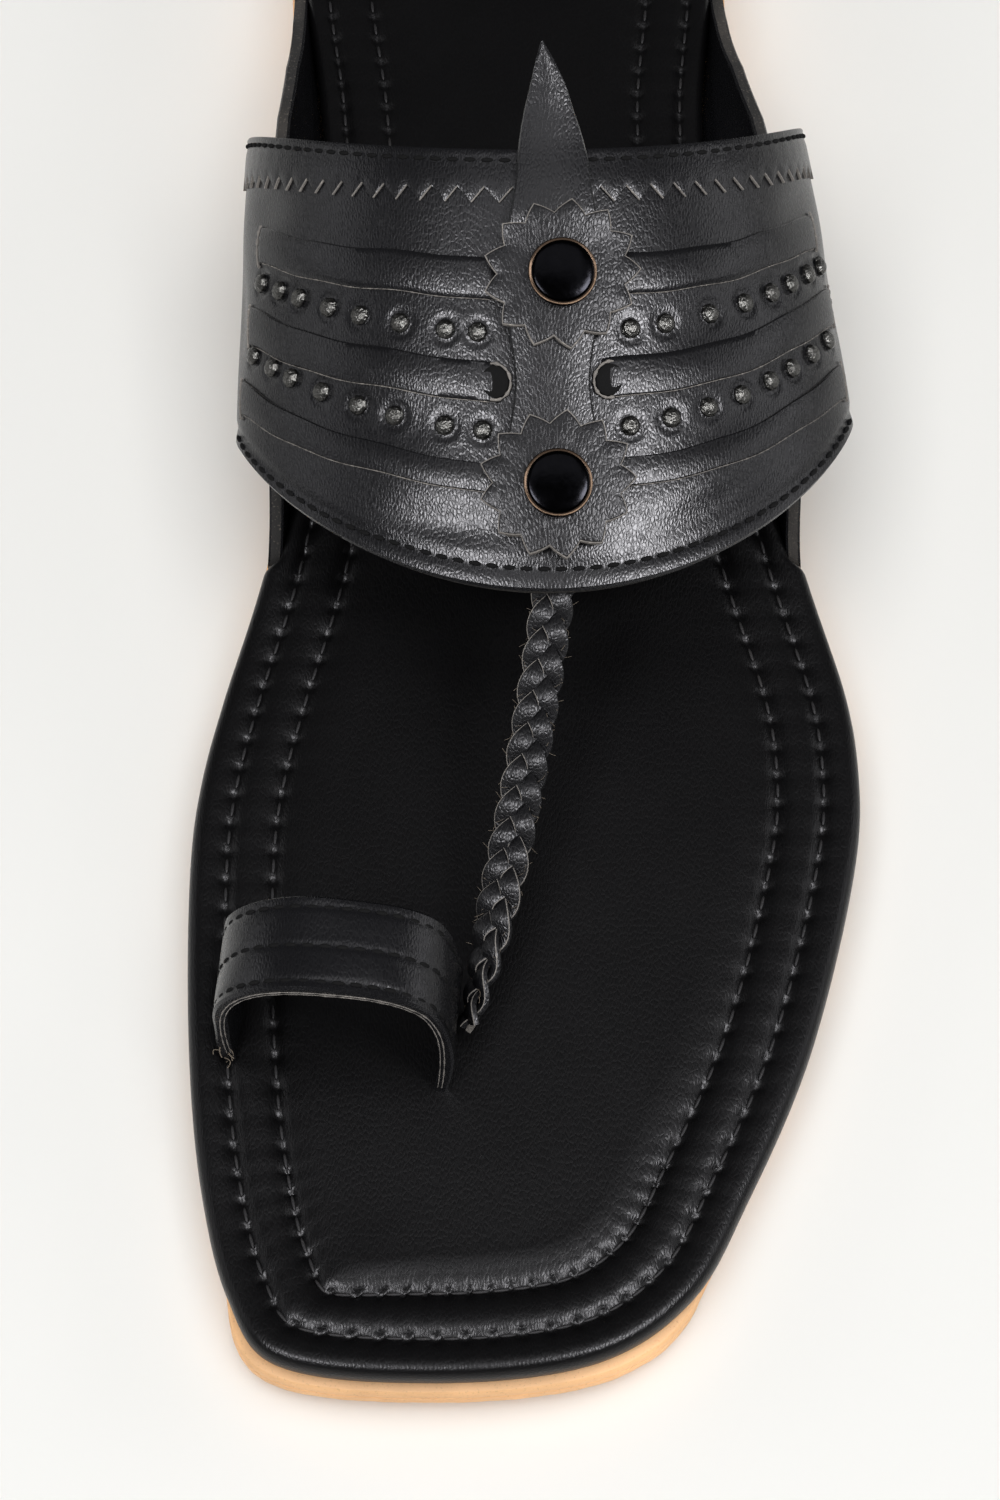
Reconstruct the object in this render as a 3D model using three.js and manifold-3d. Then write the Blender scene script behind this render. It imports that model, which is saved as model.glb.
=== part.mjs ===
// Kolhapuri sandal for the left foot: a flat leather outsole with a low heel lift, a wrapped and
// stitched footbed, and an upper of a wide vamp band on two side ears, a braid and a big toe loop.
// Millimetres, +Z up, toe towards -Y, heel towards +Y, big toe towards -X.

import * as THREE from "three";
import { mergeVertices } from "three/addons/utils/BufferGeometryUtils.js";
import Module from "manifold-3d";

const wasm = await Module();
wasm.setup();

// Sole sizes
const SOLE_LENGTH = 281;
const BALL_WIDTH = 101;
const OUTSOLE_THICKNESS = 5;
const OUTSOLE_CHAMFER = 0.6;
const WELT = 1.4;
const FOOTBED_THICKNESS = 5.4;
const HEEL_LIFT = 9;
const HEEL_SET_IN = 0.56;
const BREAST_HOLLOW = 4;
const TOE_SPRING = 2.5;
const SEAT_GAP = 0.3;
const STACK_GAP = 0.5;

// Footbed relief: rolled edge, two stitch channels with a padded ridge between them, soft centre
const EDGE_ROLL = 3.2;
const OUTER_CHANNEL_INSET = 5.7;
const INNER_CHANNEL_INSET = 12.7;
const CHANNEL_DEPTH = 0.7;
const PAD_CROWN = 0.8;
const PAD_EDGE = 3.15;

// Rolled edge of the footbed from its underside up. inset is a share of EDGE_ROLL and height is a
// share of FOOTBED_THICKNESS.
const ROLL_SECTION = [
  { inset: 0.38, height: 0.0 },
  { inset: 0.08, height: 0.2 },
  { inset: 0.0, height: 0.45 },
  { inset: 0.1, height: 0.75 },
  { inset: 0.45, height: 0.94 },
  { inset: 1.0, height: 1.0 },
];

// Relief inside the rolled edge. ridge is a share of the way from the outer channel to the inner one
// and drop is a share of CHANNEL_DEPTH.
const RIDGE_SECTION = [
  { ridge: 0.0, drop: 1 },
  { ridge: 0.3, drop: 0 },
  { ridge: 0.7, drop: 0 },
  { ridge: 1.0, drop: 1 },
];

// Padded centre. spine is a share of the way in to the sole's spine and rise is a share of PAD_CROWN.
const PAD_SECTION = [
  { spine: 0.0, rise: 0.2 },
  { spine: 0.4, rise: 0.8 },
  { spine: 0.8, rise: 1.0 },
];

// Upper sizes
const INSTEP_HEIGHT = 49;
const SHOULDER_HEIGHT = 12.5;
const STRAP_WALL = 2.4;
const EAR_WALL = 2.2;
const STRAP_LIFT_OFF_SOLE = 5;
const LAYER_STEP = 0.8;
const WALL_JOIN = 0.8;
const STRIP_ROOT = 1;

// Toe loop, braid and the pieces on the vamp band
const LOOP_HALF_WIDTH = 17.4;
const LOOP_HEIGHT = 27;
const LOOP_BAND_WIDTH = 14.6;
const LOOP_WALL = 2.4;
const LOOP_SOCKET_DEPTH = 2.6;
const BRAID_THICKNESS = 2.6;
const BRAID_STRIP_WIDTH = 2.6;
const BRAID_STRIP_STEP = 0.7;
const BRAID_PITCH = 5;
const BRAID_SLANT = 38;
const CENTRE_STRAP_WIDTH = 13.6;
const CENTRE_OFFSET = 3.7;
const CENTRE_STRAP_WALL = 1.3;
const LEAF_LENGTH = 15;
const CENTRE_STRAP_FRONT = 0.12;
const CENTRE_STRAP_REAR = 0.96;
const CENTRE_TAPER_START = 0.75;
const CENTRE_CLIMB_START = 0.76;
const CENTRE_CLIMB_END = 0.85;
const ROSETTE_DIAMETER = 22.4;
const ROSETTE_WALL = 1.3;
const ROSETTE_TEETH = 13;
const TOOTH_DEPTH = 2;
const ROSETTE_RING = 6.2;
const CAP_DIAMETER = 10;
const CAP_HEIGHT = 3.4;
const CAP_RIM_HEIGHT = 0.8;
const CAP_RIM_STEP = 0.3;
const ZIGZAG_DEPTH = 2.4;
const ZIGZAG_PITCH_DEGREES = 5;

// Outline of the footbed, a row for each station. at is a share of SOLE_LENGTH from the toe, inner and
// outer are shares of BALL_WIDTH from the axis, welt is a share of WELT.
const OUTLINE = [
  { at: 0.0, inner: 0.139, outer: -0.139, welt: 0.6 },
  { at: 0.0125, inner: 0.366, outer: 0.109, welt: 0.8 },
  { at: 0.046, inner: 0.424, outer: 0.234, welt: 0.9 },
  { at: 0.1, inner: 0.465, outer: 0.317, welt: 0.5 },
  { at: 0.18, inner: 0.493, outer: 0.413, welt: 0.15 },
  { at: 0.3, inner: 0.502, outer: 0.497, welt: 0.1 },
  { at: 0.345, inner: 0.489, outer: 0.504, welt: 0.1 },
  { at: 0.39, inner: 0.463, outer: 0.492, welt: 0.1 },
  { at: 0.485, inner: 0.398, outer: 0.425, welt: 0.4 },
  { at: 0.587, inner: 0.36, outer: 0.367, welt: 0.5 },
  { at: 0.694, inner: 0.34, outer: 0.32, welt: 0.5 },
  { at: 0.765, inner: 0.351, outer: 0.311, welt: 0.5 },
  { at: 0.854, inner: 0.381, outer: 0.331, welt: 0.5 },
  { at: 0.897, inner: 0.379, outer: 0.33, welt: 0.5 },
  { at: 0.943, inner: 0.342, outer: 0.292, welt: 0.6 },
  { at: 0.979, inner: 0.243, outer: 0.193, welt: 0.6 },
  { at: 1.0, inner: 0.025, outer: -0.025, welt: 0.6 },
];
const RING_COUNT = 84;
const DENSE_COUNT = 720;

// Stations along the sole as shares of SOLE_LENGTH
const TOE_SPRING_END = 0.1;
const BALL_END = 0.41;
const HEEL_START = 0.694;
const HEEL_BREAST = 0.735;
const TOE_TURN = 0.12;
const HEEL_TURN = 0.87;

// Side ears, a row for each station. at is a share of SOLE_LENGTH, height is a share of the way from
// the outsole up to the band's shoulder, flare is a share of the way from the sole's edge out to it.
const EAR = [
  { at: 0.477, height: 0.1, flare: 0.0 },
  { at: 0.5, height: 0.75, flare: 0.12 },
  { at: 0.53, height: 0.92, flare: 0.5 },
  { at: 0.58, height: 0.95, flare: 0.75 },
  { at: 0.66, height: 0.92, flare: 0.82 },
  { at: 0.735, height: 0.8, flare: 0.76 },
  { at: 0.78, height: 0.64, flare: 0.64 },
  { at: 0.825, height: 0.4, flare: 0.4 },
  { at: 0.868, height: 0.1, flare: 0.1 },
];

// The two edges of the vamp band. along and sweep are shares of SOLE_LENGTH, crest is a share of
// INSTEP_HEIGHT, the reaches are shares of BALL_WIDTH, bow and round shape the curve.
const VAMP_EDGES = [
  {
    edge: "front",
    along: 0.391,
    sweep: 0.132,
    crest: 0.639,
    innerReach: 0.446,
    outerReach: 0.505,
    bow: 1.4,
    round: 2.0,
  },
  {
    edge: "rear",
    along: 0.609,
    sweep: 0.1,
    crest: 1.0,
    innerReach: 0.436,
    outerReach: 0.436,
    bow: 1.12,
    round: 2.15,
  },
];
const VAMP_CROWN = 1.5;
const SWEEP_TWIST = 0.04;
const SHOULDER_ANGLE = 90;
const FLANK_TURN = 20;
const FLANK_DRIFT = 3;

// Raised strips across the vamp band, a row for each strip from front to rear. low and high are
// shares of the way from the front edge to the rear edge, at the centre and at the outer end.
const STRIPS = [
  { lowCentre: 0.215, highCentre: 0.28, lowEnd: 0.12, highEnd: 0.225, innerEnd: -78, outerEnd: 80 },
  { lowCentre: 0.42, highCentre: 0.51, lowEnd: 0.35, highEnd: 0.465, innerEnd: -73, outerEnd: 80 },
  { lowCentre: 0.65, highCentre: 0.745, lowEnd: 0.61, highEnd: 0.715, innerEnd: -68, outerEnd: 74 },
];
const OVERLAY_EDGE_CENTRE = 0.89;
const OVERLAY_EDGE_END = 0.83;

// Rosettes with a cap rivet each. along is a share of the way from the front edge to the rear edge,
// aside is in millimetres from the centre line.
const ROSETTES = [
  { name: "lower", along: 0.232, aside: 0.65 },
  { name: "upper", along: 0.7, aside: 1.2 },
];

// Pointed end of the centre strap, a row for each section past the rear edge of the vamp band.
// at is a share of LEAF_LENGTH, width is a share of CENTRE_STRAP_WIDTH, drift and rise of LEAF_LENGTH.
const LEAF = [
  { at: 0.0, width: 0.76, drift: 0.0, rise: 0.0 },
  { at: 0.1, width: 0.66, drift: -0.02, rise: 0.01 },
  { at: 0.35, width: 0.52, drift: -0.04, rise: 0.03 },
  { at: 0.6, width: 0.37, drift: -0.05, rise: 0.07 },
  { at: 0.82, width: 0.2, drift: -0.08, rise: 0.12 },
  { at: 1.0, width: 0.03, drift: -0.11, rise: 0.17 },
];

// Place of the toe loop's frame: x and y on the sole and its turn in degrees. round is how square its
// arch is, spring is the share of LOOP_HEIGHT where the legs turn into the arch.
const LOOP_PLACE = { x: -0.271 * BALL_WIDTH, y: 0.195 * SOLE_LENGTH, turn: -5 };
const LOOP_ROUND = 2.6;
const LOOP_SPRING_SHARE = 0.35;
const LOOP_STRIDE = 3;
const LOOP_STRIDE_SHARE = 0.8;
const LOOP_TUCK = 1.04;

// Path of the braid. It starts at a share along the band, aside of the centre line, and ends in the
// toe loop's frame. It turns on its edge by BRAID_TURN degrees.
const BRAID_START = { along: 0.09, aside: 1 };
const BRAID_END = { out: 1.6, along: -2.2, height: 6 };
const BRAID_BOW = 1.1;
const BRAID_SAG = 1.5;
const BRAID_TURN = 70;
const BRAID_TURN_START = 0.6;
const BRAID_STEPS = 22;
const BRAID_SIDES = 8;
const BRAID_CORE_WIDTH = 5.94;
const BRAID_PAD_LENGTH = 6.25;
const BRAID_PAD_OFFSET = 1.19;

const BLACK_GRAIN = { color: 0x1b1b1d, roughness: 0.55, metalness: 0 };
const BLACK_SMOOTH = { color: 0x141315, roughness: 0.42, metalness: 0 };
const NATURAL_EDGE = { color: 0xb58b5f, roughness: 0.7, metalness: 0 };
const DARK_METAL = { color: 0x101013, roughness: 0.18, metalness: 0.9 };

const clamp = THREE.MathUtils.clamp;
const lerp = THREE.MathUtils.lerp;
const toRadians = THREE.MathUtils.degToRad;

function smoothStep(from, to, value) {
  const t = clamp((value - from) / (to - from), 0, 1);
  return t * t * (3 - 2 * t);
}

// Value of a named column at one station of a table, in straight steps between its rows
function column(rows, key, name, at) {
  let i = 1;
  while (i < rows.length - 1 && rows[i][key] < at) i += 1;
  const t = clamp((at - rows[i - 1][key]) / (rows[i][key] - rows[i - 1][key]), 0, 1);
  return lerp(rows[i - 1][name], rows[i][name], t);
}

// Solids

function solidFrom(points, triangles) {
  const mesh = new wasm.Mesh({
    numProp: 3,
    vertProperties: Float32Array.from(points.flat()),
    triVerts: Uint32Array.from(triangles.flat()),
  });
  return new wasm.Manifold(mesh);
}

function solidFromGeometry(geometry) {
  const bare = geometry.clone();
  bare.deleteAttribute("normal");
  bare.deleteAttribute("uv");
  const merged = mergeVertices(bare, 1e-4);
  const mesh = new wasm.Mesh({
    numProp: 3,
    vertProperties: Float32Array.from(merged.attributes.position.array),
    triVerts: Uint32Array.from(merged.index.array),
  });
  return new wasm.Manifold(mesh);
}

function geometryFrom(solid) {
  const mesh = solid.getMesh();
  const geometry = new THREE.BufferGeometry();
  geometry.setAttribute("position", new THREE.BufferAttribute(mesh.vertProperties, 3));
  geometry.setIndex(new THREE.BufferAttribute(mesh.triVerts, 1));
  geometry.computeVertexNormals();
  return geometry;
}

function pieceFrom(name, solid, look) {
  const piece = new THREE.Mesh(geometryFrom(solid), new THREE.MeshStandardMaterial(look));
  piece.name = name;
  return piece;
}

// A closed sheet from a grid of points on two faces. outside and inside hold rows of [x, y, z] and
// the outside face is seen with its rows going up and its columns going right.
function sheetSolid(outside, inside) {
  const rows = outside.length;
  const columns = outside[0].length;
  const points = [...outside.flat(), ...inside.flat()];
  const front = (r, c) => r * columns + c;
  const back = (r, c) => rows * columns + r * columns + c;
  const triangles = [];
  const quad = (a, b, c, d) => triangles.push([a, b, c], [a, c, d]);
  for (let r = 0; r < rows - 1; r += 1) {
    for (let c = 0; c < columns - 1; c += 1) {
      quad(front(r, c), front(r, c + 1), front(r + 1, c + 1), front(r + 1, c));
      quad(back(r, c), back(r + 1, c), back(r + 1, c + 1), back(r, c + 1));
    }
    quad(front(r, 0), front(r + 1, 0), back(r + 1, 0), back(r, 0));
    quad(front(r, columns - 1), back(r, columns - 1), back(r + 1, columns - 1), front(r + 1, columns - 1));
  }
  for (let c = 0; c < columns - 1; c += 1) {
    quad(front(0, c), back(0, c), back(0, c + 1), front(0, c + 1));
    quad(front(rows - 1, c), front(rows - 1, c + 1), back(rows - 1, c + 1), back(rows - 1, c));
  }
  return solidFrom(points, triangles);
}

// Flat rungs between the two sides of a ring that runs anticlockwise from the toe
function ladder(ring, offset) {
  const count = ring.length;
  let toe = 0;
  let heel = 0;
  ring.forEach((p, i) => {
    if (p[1] < ring[toe][1]) toe = i;
    if (p[1] > ring[heel][1]) heel = i;
  });
  const right = [];
  for (let i = toe; i !== heel; i = (i + 1) % count) right.push(i);
  const left = [];
  for (let i = toe; i !== heel; i = (i + count - 1) % count) left.push(i);
  right.push(heel);
  left.push(heel);
  const triangles = [[toe, right[1], left[1]]];
  let i = 1;
  let j = 1;
  while (i < right.length - 1 || j < left.length - 1) {
    const nextRight = right[i + 1];
    const nextLeft = left[j + 1];
    const leftDone = j >= left.length - 1;
    const rightFirst = i < right.length - 1 && (leftDone || ring[nextRight][1] <= ring[nextLeft][1]);
    if (leftDone || rightFirst) {
      if (nextRight !== left[j]) triangles.push([right[i], nextRight, left[j]]);
      i += 1;
    } else {
      if (nextLeft !== right[i]) triangles.push([right[i], nextLeft, left[j]]);
      j += 1;
    }
  }
  return triangles.map((t) => t.map((index) => index + offset));
}

// A closed solid from rings that go round the sole, from the one that closes its underside, up the
// side, to the one that closes its top
function ringSolid(rings) {
  const count = rings[0].length;
  const points = rings.flat();
  const triangles = ladder(rings[0], 0).map(([a, b, c]) => [a, c, b]);
  for (let k = 0; k < rings.length - 1; k += 1) {
    for (let i = 0; i < count; i += 1) {
      const next = (i + 1) % count;
      const a = k * count + i;
      const b = k * count + next;
      const c = (k + 1) * count + next;
      const d = (k + 1) * count + i;
      triangles.push([a, b, c], [a, c, d]);
    }
  }
  triangles.push(...ladder(rings[rings.length - 1], (rings.length - 1) * count));
  return solidFrom(points, triangles);
}

// The sole's outline and height

function outlineCurve() {
  const rows = OUTLINE;
  const point = (row, side) => {
    const reach = side > 0 ? row.outer : -row.inner;
    return new THREE.Vector3(reach * BALL_WIDTH, row.at * SOLE_LENGTH, 0);
  };
  const outer = rows.map((row) => point(row, 1));
  const inner = rows.slice(1, -1).reverse().map((row) => point(row, -1));
  return new THREE.CatmullRomCurve3([...outer, ...inner], true, "centripetal");
}

const outline = outlineCurve();
const denseOutline = outline.getPoints(DENSE_COUNT);

// Distance of the footbed's edge from the axis at one station, side 1 outer and -1 inner
function sideEdge(side, y) {
  let reach = 0;
  for (let i = 0; i < denseOutline.length - 1; i += 1) {
    const a = denseOutline[i];
    const b = denseOutline[i + 1];
    if ((a.y - y) * (b.y - y) <= 0 && a.y !== b.y) {
      const x = lerp(a.x, b.x, (y - a.y) / (b.y - a.y));
      reach = Math.max(reach, x * side);
    }
  }
  return reach;
}

function soleRise(y) {
  const toeEnd = TOE_SPRING_END * SOLE_LENGTH;
  const toe = Math.max(0, toeEnd - y) / toeEnd;
  const shank = smoothStep(BALL_END * SOLE_LENGTH, HEEL_START * SOLE_LENGTH, y);
  return TOE_SPRING * toe * toe + (HEEL_LIFT + SEAT_GAP) * shank;
}

function outsoleTop(y) {
  return soleRise(y) + OUTSOLE_THICKNESS;
}

function footbedTop(y) {
  return outsoleTop(y) + SEAT_GAP + FOOTBED_THICKNESS;
}

// Points of the outline with the way in towards the sole's spine, scaled to 1 mm off the edge
function outlineStations() {
  const samples = outline.getSpacedPoints(RING_COUNT).slice(0, RING_COUNT);
  return samples.map((p, i) => {
    const before = samples[(i + RING_COUNT - 1) % RING_COUNT];
    const after = samples[(i + 1) % RING_COUNT];
    const outward = new THREE.Vector3(after.y - before.y, before.x - after.x, 0).normalize();
    const spineY = clamp(p.y, TOE_TURN * SOLE_LENGTH, HEEL_TURN * SOLE_LENGTH);
    const spineX = (sideEdge(1, spineY) - sideEdge(-1, spineY)) / 2;
    const spine = new THREE.Vector3(spineX, spineY, 0);
    const way = spine.clone().sub(p).normalize();
    way.divideScalar(-way.dot(outward));
    const welt = WELT * column(OUTLINE, "at", "welt", p.y / SOLE_LENGTH);
    return { edge: p, way, spine, welt };
  });
}

const stations = outlineStations();

function ring(insetOf, height) {
  return stations.map((station) => {
    const p = station.edge.clone().addScaledVector(station.way, insetOf(station));
    return [p.x, p.y, soleRise(p.y) + height];
  });
}

function ringTowardsSpine(inset, share, height) {
  return stations.map((station) => {
    const p = station.edge.clone().addScaledVector(station.way, inset).lerp(station.spine, share);
    return [p.x, p.y, soleRise(p.y) + height];
  });
}

function outsole() {
  return ringSolid([
    ring((s) => OUTSOLE_CHAMFER - s.welt, 0),
    ring((s) => -s.welt, OUTSOLE_CHAMFER),
    ring((s) => -s.welt, OUTSOLE_THICKNESS - OUTSOLE_CHAMFER),
    ring((s) => OUTSOLE_CHAMFER - s.welt, OUTSOLE_THICKNESS),
  ]);
}

function heelLift() {
  const breast = HEEL_BREAST * SOLE_LENGTH;
  const around = ring((s) => HEEL_SET_IN - s.welt, 0).filter((p) => p[1] >= breast);
  const first = around[0];
  const last = around[around.length - 1];
  const shape = new THREE.Shape(around.map((p) => new THREE.Vector2(p[0], p[1])));
  shape.lineTo(last[0], breast);
  shape.quadraticCurveTo((first[0] + last[0]) / 2, breast + 2 * BREAST_HOLLOW, first[0], breast);
  const options = { depth: HEEL_LIFT, bevelEnabled: false, curveSegments: 6 };
  return solidFromGeometry(new THREE.ExtrudeGeometry(shape, options));
}

function footbed() {
  const base = OUTSOLE_THICKNESS + SEAT_GAP;
  const top = base + FOOTBED_THICKNESS;
  const insetAt = (ridge) => lerp(OUTER_CHANNEL_INSET, INNER_CHANNEL_INSET, ridge);
  const padInset = INNER_CHANNEL_INSET + PAD_EDGE;
  const body = ringSolid([
    ...ROLL_SECTION.map((row) => ring(() => row.inset * EDGE_ROLL, base + row.height * FOOTBED_THICKNESS)),
    ...RIDGE_SECTION.map((row) => ring(() => insetAt(row.ridge), top - row.drop * CHANNEL_DEPTH)),
    ...PAD_SECTION.map((row) => ringTowardsSpine(padInset, row.spine, top + row.rise * PAD_CROWN)),
  ]);
  return body.subtract(loopBand(SEAT_GAP)).subtract(earNotch(-1)).subtract(earNotch(1));
}

// The vamp band's surface

function vampEdge(share) {
  const [front, rear] = VAMP_EDGES;
  const mix = {};
  for (const name of ["along", "sweep", "crest", "innerReach", "outerReach", "bow", "round"]) {
    mix[name] = lerp(front[name], rear[name], share);
  }
  return mix;
}

function shoulderStation(share, side) {
  const edge = vampEdge(share);
  return (edge.along + edge.sweep * (1 + SWEEP_TWIST * side)) * SOLE_LENGTH;
}

function shoulderLevel(y) {
  return footbedTop(y) + SHOULDER_HEIGHT;
}

// Distance of the vamp band's shoulder from the axis at one station
function shoulderReach(side, y) {
  const name = side > 0 ? "outerReach" : "innerReach";
  const from = shoulderStation(0, side);
  const to = shoulderStation(1, side);
  return lerp(VAMP_EDGES[0][name], VAMP_EDGES[1][name], (y - from) / (to - from)) * BALL_WIDTH;
}

// Distance of an ear's outer face from the axis, from the sole's edge out to the band's shoulder
function earFace(side, y, z) {
  const foot = outsoleTop(y) + SEAT_GAP;
  const base = sideEdge(side, y);
  const out = Math.max(0, shoulderReach(side, y) - STRAP_WALL + WALL_JOIN - base);
  const top = base + out * column(EAR, "at", "flare", y / SOLE_LENGTH);
  const t = clamp((z - foot) / (shoulderLevel(y) - foot), 0, 1);
  return lerp(base, top, Math.sin((t * Math.PI) / 2));
}

// A point of the band's outer face. angle is 0 at the crest, -90 at the inner shoulder and 90 at the
// outer one, and goes on down the flank. share is 0 at the front edge and 1 at the rear edge.
function bandPoint(angle, share) {
  const side = angle < 0 ? -1 : 1;
  const edge = vampEdge(share);
  const arc = toRadians(Math.min(Math.abs(angle), SHOULDER_ANGLE));
  const crestY = edge.along * SOLE_LENGTH;
  const crestZ = footbedTop(crestY) + edge.crest * INSTEP_HEIGHT + VAMP_CROWN * 4 * share * (1 - share);
  const shoulderY = shoulderStation(share, side);
  const shoulderZ = shoulderLevel(shoulderY);
  const over = Math.max(0, Math.cos(arc));
  const middle = ((edge.outerReach - edge.innerReach) / 2) * BALL_WIDTH;
  const reach = ((edge.outerReach + edge.innerReach) / 2) * BALL_WIDTH;
  if (Math.abs(angle) <= SHOULDER_ANGLE) {
    const twist = 1 + SWEEP_TWIST * side * Math.sin(arc);
    return new THREE.Vector3(
      middle + side * reach * Math.sin(arc) ** (2 / edge.round),
      crestY + edge.sweep * SOLE_LENGTH * (1 - over ** edge.bow) * twist,
      shoulderZ + (crestZ - shoulderZ) * over ** (2 / edge.round),
    );
  }
  const down = (Math.abs(angle) - SHOULDER_ANGLE) / FLANK_TURN;
  const y = shoulderY + down * FLANK_DRIFT;
  const low = outsoleTop(y) + SEAT_GAP + STRAP_LIFT_OFF_SOLE;
  const z = lerp(shoulderZ, low, down);
  const joined = earFace(side, y, z) + STRAP_WALL - WALL_JOIN;
  const x = lerp(reach + side * middle, joined, 1 - Math.cos((down * Math.PI) / 2));
  return new THREE.Vector3(side * x, y, z);
}

function bandNormal(angle, share) {
  const turn = 1;
  const step = 0.01;
  const across = bandPoint(angle + turn, share).sub(bandPoint(angle - turn, share));
  const along = bandPoint(angle, share + step).sub(bandPoint(angle, share - step));
  return across.cross(along).normalize();
}

function bandAt(angle, share, lift) {
  return bandPoint(angle, share).addScaledVector(bandNormal(angle, share), lift);
}

// Length of the band from its front edge to its rear edge, from how it runs near one place
function bandLength(angle, share) {
  const step = 0.05;
  return bandPoint(angle, share + step).distanceTo(bandPoint(angle, share - step)) / (2 * step);
}

// A patch of leather on the band. angles runs across, and low and high give its two edges as shares
// along at an angle. The patch fills from lift under to lift over, in straight steps along.
function bandPatch(angles, low, high, under, over, steps) {
  const face = (lift) => {
    const rows = [];
    for (const t of range(0, 1, steps)) {
      rows.push(angles.map((angle) => bandAt(angle, lerp(low(angle), high(angle), t), lift).toArray()));
    }
    return rows;
  };
  return sheetSolid(face(over), face(under));
}

function range(from, to, steps) {
  return Array.from({ length: steps + 1 }, (_, i) => lerp(from, to, i / steps));
}

function vampBand() {
  const arch = range(-SHOULDER_ANGLE, SHOULDER_ANGLE, 24);
  const flank = range(SHOULDER_ANGLE, SHOULDER_ANGLE + FLANK_TURN, 4).slice(1);
  const angles = [...flank.map((a) => -a).reverse(), ...arch, ...flank];
  return bandPatch(angles, () => 0, () => 1, -STRAP_WALL, 0, 6);
}

// Angle of a line on the band that runs along it at one distance from the axis
function angleAt(x, share) {
  const edge = vampEdge(share);
  const middle = ((edge.outerReach - edge.innerReach) / 2) * BALL_WIDTH;
  const reach = ((edge.outerReach + edge.innerReach) / 2) * BALL_WIDTH;
  const off = (x - middle) / reach;
  return Math.sign(off) * THREE.MathUtils.radToDeg(Math.asin(Math.abs(off) ** (edge.round / 2)));
}

function raisedStrips() {
  const strips = [];
  for (const strip of STRIPS) {
    for (const side of [-1, 1]) {
      const inner = CENTRE_OFFSET + side * (CENTRE_STRAP_WIDTH / 2 + STACK_GAP);
      const from = angleAt(inner, strip.lowCentre);
      const to = side < 0 ? strip.innerEnd : strip.outerEnd;
      const angles = range(Math.min(from, to), Math.max(from, to), 9);
      const outwards = (angle) => (angle - from) / (to - from);
      const low = (angle) => lerp(strip.lowCentre, strip.lowEnd, outwards(angle) ** 2);
      const high = (angle) => lerp(strip.highCentre, strip.highEnd, outwards(angle) ** 2);
      strips.push(bandPatch(angles, low, high, -STRIP_ROOT, LAYER_STEP, 1));
    }
  }
  return strips;
}

// Overlay along the rear edge, with its front edge pinked into teeth
function rearOverlay() {
  const end = SHOULDER_ANGLE - ZIGZAG_PITCH_DEGREES;
  const teeth = Math.round((2 * end) / ZIGZAG_PITCH_DEGREES);
  const angles = range(-end, end, 2 * teeth);
  const length = bandLength(0, OVERLAY_EDGE_CENTRE);
  const low = (angle) => {
    const line = lerp(OVERLAY_EDGE_CENTRE, OVERLAY_EDGE_END, (Math.abs(angle) / SHOULDER_ANGLE) ** 2);
    const tooth = Math.round(((angle + end) / ZIGZAG_PITCH_DEGREES) * 2) % 2;
    return line + ((tooth - 0.5) * ZIGZAG_DEPTH) / length;
  };
  return bandPatch(angles, low, () => 1, -STRIP_ROOT, LAYER_STEP, 1);
}

// A side ear: its foot stands on the outsole in a notch of the footbed and its top is in the band
function ear(side) {
  const outside = [];
  const inside = [];
  const ys = range(EAR[0].at * SOLE_LENGTH, EAR[EAR.length - 1].at * SOLE_LENGTH, 18);
  for (const level of range(0, 1, 4)) {
    const outRow = [];
    const inRow = [];
    for (const y of ys) {
      const foot = outsoleTop(y) + SEAT_GAP;
      const height = column(EAR, "at", "height", y / SOLE_LENGTH) * (shoulderLevel(y) - foot);
      const z = foot + height * level;
      const x = earFace(side, y, z);
      outRow.push([side * x, y, z]);
      inRow.push([side * (x - EAR_WALL), y, z]);
    }
    outside.push(outRow);
    inside.push(inRow);
  }
  return side > 0 ? sheetSolid(outside, inside) : sheetSolid(inside, outside);
}

// The cutter that takes the footbed's edge away where an ear stands
function earNotch(side) {
  const inside = [];
  const outside = [];
  const from = EAR[0].at * SOLE_LENGTH - SEAT_GAP;
  const to = EAR[EAR.length - 1].at * SOLE_LENGTH + SEAT_GAP;
  for (const height of [-FOOTBED_THICKNESS, 2 * FOOTBED_THICKNESS]) {
    const inRow = [];
    const outRow = [];
    for (const y of range(from, to, 18)) {
      const z = outsoleTop(y) + height;
      inRow.push([side * (sideEdge(side, y) - EAR_WALL - SEAT_GAP), y, z]);
      outRow.push([side * (sideEdge(side, y) + EAR_WALL), y, z]);
    }
    inside.push(inRow);
    outside.push(outRow);
  }
  return side > 0 ? sheetSolid(outside, inside) : sheetSolid(inside, outside);
}

// The big toe loop stands across the sole in its own frame, its feet in sockets in the footbed
function loopFrame() {
  const frame = new THREE.Matrix4().makeRotationZ(toRadians(LOOP_PLACE.turn));
  frame.setPosition(LOOP_PLACE.x, LOOP_PLACE.y, footbedTop(LOOP_PLACE.y));
  return frame;
}

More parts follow.
